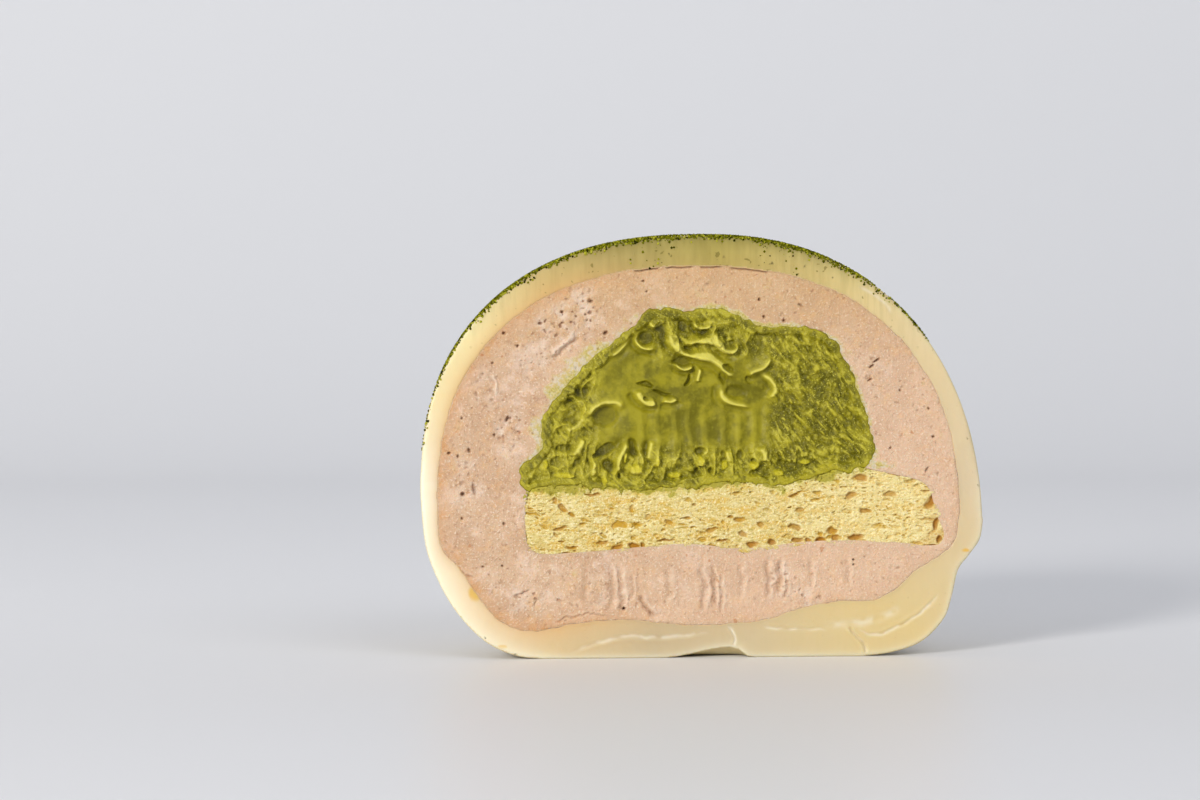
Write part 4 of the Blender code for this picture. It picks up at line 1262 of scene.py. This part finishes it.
def spongeRelief(x, z):
    warpX = x + 0.7 * cloud(x, z, 1.8, 101, 3)
    warpZ = z + 0.4 * cloud(x, z, 1.3, 102, 3)
    openness = smoothStep(0.5 + 1.3 * cloud(x, z, 3.4, 108, 2))         # the crumb is closer in places
    large = holes(warpX, warpZ, 1.9, 0.8, 0.6, 103, 0.3, 0.9) * openness
    medium = holes(warpX + 0.3, warpZ, 1.0, 0.46, 0.85, 107, 0.35, 1.0) * (0.5 + 0.5 * openness)
    small = holes(x + 0.3 * (warpX - x), z, 0.46, 0.27, 0.8, 113, 0.4, 1.0)
    brown = np.zeros_like(x)
    behind = 0.07 * cloud(x, z, 2.0, 104, 2)
    for crumb, depth in zip((large, medium, small), spongeLook["crumbDepths"]):
        behind = behind + depth * crumb
    for place, size, tilt, depth, browned in spongeHoles:
        hole = dimple(warpX, warpZ, place, size, tilt, spongeLook["holeSize"])
        behind = np.maximum(behind, spongeLook["holeDepth"] * depth * hole)
        large = np.maximum(large, hole)
        brown = np.maximum(brown, browned * hole)
    return behind, np.clip(0.9 * large + 0.6 * medium + 0.35 * small, 0, 1), brown


def spongeProfile(side):
    edge = roughened(spongeEdge(side, 180), side, 121, *spongeLook["edgeLumps"])
    profile = np.vstack([smoothLeg(fillingShape["spongeTop"][side], 100)[:-1], edge])
    return onAxis(grown(profile, 0.06))


def makeSponge():
    places, faces, first, outline = fillingBody(spongeProfile, spongeLook)
    x, z = places[first:, 0], places[first:, 2]
    behind, hollow, brown = spongeRelief(x, z)
    toEdge = edgeDistance(x, z, outline, 1.5)
    places[first:, 1] = spongeLook["recess"] + behind * smoothStep(toEdge / 0.3)
    places[first:, 1] += rounding(toEdge, spongeLook["edge"])
    under, rightEnd = smoothStep((14.6 - z) / 1.2), smoothStep((x - 26.0) / 3.0)
    toPaste = spongeTopHeight(x) - z
    masks = onSheetOnly(first, {
        "hollow": hollow,
        # painted highlight on the rims of the holes, where their walls catch the light
        "wall": bell((hollow - 0.16) / 0.09),
        "brown": np.maximum(brown, 0.5 * hollow * np.maximum(under, rightEnd)),
        "crust": np.maximum(0.5 * under, rightEnd) * smoothStep(0.6 + grain(x, z, 0.9, 123)),
        "stain": smoothStep((1.9 + 1.3 * cloud(x, z, 1.6, 125, 3) - toPaste) / 1.8) * (x < 21),
        "soaked": smoothStep((0.5 + 0.7 * cloud(x, z, 1.1, 126, 3) - toPaste) / 0.7) * (x < 21),
    })
    piece = makePiece("spongeCake", places, faces, spongeCrumb(), masks)
    return dressed(piece, "sponge_crumb", "sponge_cake")


def spongeCrumb():
    finish = Finish("sponge crumb", {
        "Subsurface Weight": 0.25, "Subsurface Radius": (1.0, 0.75, 0.3), "Subsurface Scale": 0.9 * mm,
        "IOR": 1.35,
    })
    blotch, fine = finish.noise(2.5), finish.noise(0.25, 3.0, 0.6)
    cells = finish.noise(1.7, 2.0, 0.5, finish.stretched((0.55, 1.0, 1.5)))
    pores = finish.noise(0.4, 3.0, 0.6, finish.stretched((0.5, 1.0, 1.5)))
    ochre = 0.45 + 0.5 * finish.noise(3.2, 1.0).between(0.4, 0.65)
    stain = finish.mask("stain")
    damp = stain * 1.3 + (finish.noise(0.6, 3.0, 0.65) - 0.5) * 1.8 - 0.8
    colour = finish.layered(
        (200, 178, 108),
        (blotch.between(0.3, 0.7), (210, 191, 126)),
        (cells.between(0.52, 0.61) * 0.75, (200, 162, 62)),
        (cells.between(0.3, 0.42) * -0.5 + 0.5, (222, 211, 166)),
        (fine.between(0.5, 0.7) * 0.75, (240, 233, 190)),
        (pores.between(0.54, 0.64) * 0.7, (158, 136, 46)),
        (pores.between(0.42, 0.3) * 0.6, (238, 228, 188)),
        (finish.axis("X").between(2.0, 26.0) * 0.35, (236, 220, 164)),
        # painted highlight on the hole rims
        (finish.mask("wall") * 0.5, (242, 232, 180)),
        (finish.mask("hollow") * ochre, (188, 148, 38)),
        (finish.mask("crust") * 0.4, (188, 150, 78)),
        (stain * 0.55, (196, 186, 96)),
        (damp.between(0.0, 0.3) * 0.8, (150, 140, 30)),
        (finish.mask("soaked") * 0.75, (184, 172, 48)),
        (finish.mask("brown") * 0.8, (164, 108, 20)),
    )
    grainy = finish.bump(fine - pores, 0.07, 0.6)
    return finish.give(colour=colour, roughness=0.7 + 0.2 * fine, normal=grainy)


makeSponge()


# green tea powder: crumbs scattered over the dusted skin, thickest along the top edge of the cut

powderLook = {
    "crumbsPerSquare": 38.5,            # on a square millimetre, where the cover is 1
    "crumbSize": 0.12,                  # half the width of a middling crumb
    "sizeSpread": 0.85,
    "seed": 4,
    "overDome": 0.3,                    # shares of that density
    "alongCut": 4.5,
    "cutBand": 0.8,                     # how wide the thick band behind the cut is
    "onCut": 2.2,
}


def crumbTree():
    tree = bpy.data.node_groups.new("scatteredCrumbs", "GeometryNodeTree")
    tree.interface.new_socket("Geometry", in_out="OUTPUT", socket_type="NodeSocketGeometry")
    for name, kind in (("Geometry", "Geometry"), ("Density", "Float"), ("Crumb size", "Float"),
                       ("Size spread", "Float"), ("Seed", "Int"), ("Material", "Material")):
        tree.interface.new_socket(name, in_out="INPUT", socket_type="NodeSocket" + kind)

    def add(kind, settings=None, inputs=None, output=0):
        # a node's settings, the values or links of its sockets, and the socket it gives on
        node = tree.nodes.new(kind)
        for setting, value in (settings or {}).items():
            setattr(node, setting, value)
        for name, value in (inputs or {}).items():
            if isinstance(value, bpy.types.NodeSocket):
                tree.links.new(value, node.inputs[name])
            else:
                node.inputs[name].default_value = value
        return node.outputs[output] if len(node.outputs) else None

    def maths(operation, first, second):
        return add("ShaderNodeMath", {"operation": operation}, {0: first, 1: second})

    def randomValue(low, high, seed):
        return add("FunctionNodeRandomValue", {"data_type": "FLOAT"}, {2: low, 3: high, "Seed": seed}, 1)

    given = tree.nodes.new("NodeGroupInput").outputs
    cover = add("GeometryNodeInputNamedAttribute", {"data_type": "FLOAT"}, {"Name": "crumbs"})
    density = maths("MULTIPLY", given["Density"], cover)
    points = add("GeometryNodeDistributePointsOnFaces", None,
                 {"Mesh": given["Geometry"], "Density": density, "Seed": given["Seed"]}, "Points")
    crumb = add("GeometryNodeMeshUVSphere", None, {"Segments": 4, "Rings": 2, "Radius": 1.0}, "Mesh")
    smallest, largest = (maths(way, 1.0, given["Size spread"]) for way in ("SUBTRACT", "ADD"))
    scale = maths("MULTIPLY", randomValue(smallest, largest, 11), given["Crumb size"])
    turn = add("FunctionNodeRandomValue", {"data_type": "FLOAT_VECTOR"},
               {0: (0.0, 0.0, 0.0), 1: (6.283, 6.283, 6.283), "Seed": 12})
    placed = add("GeometryNodeInstanceOnPoints", None,
                 {"Points": points, "Instance": crumb, "Rotation": turn, "Scale": scale})
    toned = add("GeometryNodeStoreNamedAttribute", {"data_type": "FLOAT", "domain": "INSTANCE"},
                {"Geometry": placed, "Name": "grainTone", "Value": randomValue(0.0, 1.0, 13)})
    real = add("GeometryNodeRealizeInstances", None, {"Geometry": toned})
    done = add("GeometryNodeSetMaterial", None, {"Geometry": real, "Material": given["Material"]})
    add("NodeGroupOutput", None, {"Geometry": done})
    return tree


def scatterPowder(skin):
    def values(data, field, size=1):
        found = np.zeros(size * len(skin.data.vertices), np.float32)
        data.foreach_get(field, found)
        return found

    behind = values(skin.data.vertices, "co", 3)[1::3] / mm - cutY
    cover = values(skin.data.attributes["powder"].data, "value")
    spill = values(skin.data.attributes["spill"].data, "value")
    crumbs = powderLook["overDome"] + powderLook["alongCut"] * np.exp(-behind / powderLook["cutBand"])
    crumbs = cover**1.5 * crumbs + powderLook["onCut"] * spill
    holder = bpy.data.objects.new("powderHolder", skin.data.copy())
    bpy.context.scene.collection.objects.link(holder)
    attribute = holder.data.attributes.new("crumbs", "FLOAT", "POINT")
    attribute.data.foreach_set("value", crumbs.astype(np.float32))
    modifier = holder.modifiers.new("crumbs", "NODES")
    modifier.node_group = crumbTree()
    inputs = {
        "Density": powderLook["crumbsPerSquare"] / mm**2,
        "Crumb size": powderLook["crumbSize"] * mm,
        "Size spread": powderLook["sizeSpread"],
        "Seed": powderLook["seed"],
        "Material": teaPowder(),
    }
    for item in modifier.node_group.interface.items_tree:
        if item.in_out == "INPUT" and item.name in inputs:
            modifier[item.identifier] = inputs[item.name]
    bpy.context.view_layer.update()
    mesh = bpy.data.meshes.new_from_object(holder.evaluated_get(bpy.context.evaluated_depsgraph_get()))
    mesh.name = "matchaPowder"
    holder.modifiers.remove(modifier)
    bpy.data.objects.remove(holder, do_unlink=True)
    piece = bpy.data.objects.new("matchaPowder", mesh)
    bpy.context.scene.collection.objects.link(piece)
    return dressed(piece, "rice_skin")


def teaPowder():
    finish = Finish("green tea powder", {"Specular IOR Level": 0.05, "IOR": 1.3})
    tone = finish.mask("grainTone")
    colour = finish.layered(
        (36, 38, 2),
        (tone.between(0.0, 0.6), (108, 108, 10)),
        (tone.between(0.6, 1.0), (168, 164, 50)),
    )
    return finish.give(colour=colour, roughness=0.85 + 0.1 * finish.noise(0.3))


scatterPowder(skinPiece)


# the studio: a pale floor that sweeps up into a wall, one soft lamp at the front left and a weak fill

studio = {                              # in metres and degrees, the lens and the sensor in millimetres
    "halfWidth": 2.4,
    "front": -3.0,
    "flatBehind": 0.36,                 # how far behind the cut the floor starts to sweep up
    "sweep": 0.3,
    "wallHeight": 2.0,
    "air": (0.80, 0.83, 0.88, 1.0),
    "airStrength": 0.5,
    "lens": 106.7,
    "sensor": 36.0,
    "camera": {"target": (-0.0129, cutY * mm, 0.0321), "azimuth": -4.5, "rise": 2.18, "distance": 0.44},
}

lamps = {
    "keyLamp": {
        "size": 0.28, "power": 9.7, "colour": (1.0, 0.98, 0.95),
        "stand": {"target": (0.0, 0.0, 0.02), "azimuth": -36.0, "rise": 19.0, "distance": 1.1},
    },
    "fillLamp": {
        "size": 0.9, "power": 3.3, "colour": (0.96, 0.97, 1.0),
        "stand": {"target": (0.0, 0.0, 0.02), "azimuth": 30.0, "rise": 35.0, "distance": 1.2},
    },
}


def makeStudio():
    mesh = bpy.data.meshes.new("studioPaper")
    bend, start = studio["sweep"], studio["flatBehind"] + cutY * mm
    section = [(studio["front"], 0.0)]
    for turn in np.linspace(0.0, math.pi / 2, 33):
        section.append((start + bend * math.sin(turn), bend - bend * math.cos(turn)))
    section.append((start + bend, studio["wallHeight"]))
    corners = [(side * studio["halfWidth"], y, z) for y, z in section for side in (-1, 1)]
    faces = [(2 * n, 2 * n + 1, 2 * n + 3, 2 * n + 2) for n in range(len(section) - 1)]
    mesh.from_pydata(corners, [], faces)
    mesh.shade_smooth()
    mesh.materials.append(studioPaper())
    paper = bpy.data.objects.new("studioPaper", mesh)
    bpy.context.scene.collection.objects.link(paper)


def studioPaper():
    finish = Finish("studio paper", {"Roughness": 0.42, "IOR": 1.4})
    depth = finish.axis("Y")
    # the paper is painted lighter towards the back, where the lamp's light falls off
    return finish.give(colour=finish.blend(depth.between(-60.0, 80.0), (223, 223, 225), (235, 235, 237)))


def lookingAt(name, data, target, azimuth, rise, distance):
    # a lamp or a camera that looks at its target, from the front turned by azimuth and raised by rise
    turn, lift = math.radians(azimuth), math.radians(rise)
    away = Vector((math.sin(turn) * math.cos(lift), -math.cos(turn) * math.cos(lift), math.sin(lift)))
    item = bpy.data.objects.new(name, data)
    item.location = Vector(target) + away * distance
    item.rotation_euler = (-away).to_track_quat("-Z", "Y").to_euler()
    bpy.context.scene.collection.objects.link(item)
    return item


def makeLamps():
    for name, lamp in lamps.items():
        data = bpy.data.lights.new(name, "AREA")
        data.shape, data.size, data.energy, data.color = "DISK", lamp["size"], lamp["power"], lamp["colour"]
        lookingAt(name, data, **lamp["stand"])


def makeCamera():
    data = bpy.data.cameras.new("camera")
    data.lens, data.sensor_width, data.clip_start = studio["lens"], studio["sensor"], 0.01
    bpy.context.scene.camera = lookingAt("camera", data, **studio["camera"])


def makeWorld():
    world = bpy.data.worlds.new("studio air")
    world.use_nodes = True
    air = world.node_tree.nodes["Background"].inputs
    air["Color"].default_value, air["Strength"].default_value = studio["air"], studio["airStrength"]
    bpy.context.scene.world = world


makeStudio()
makeLamps()
makeCamera()
makeWorld()
bpy.context.scene.view_settings.view_transform = "Standard"
print("studio, lamps and camera set")
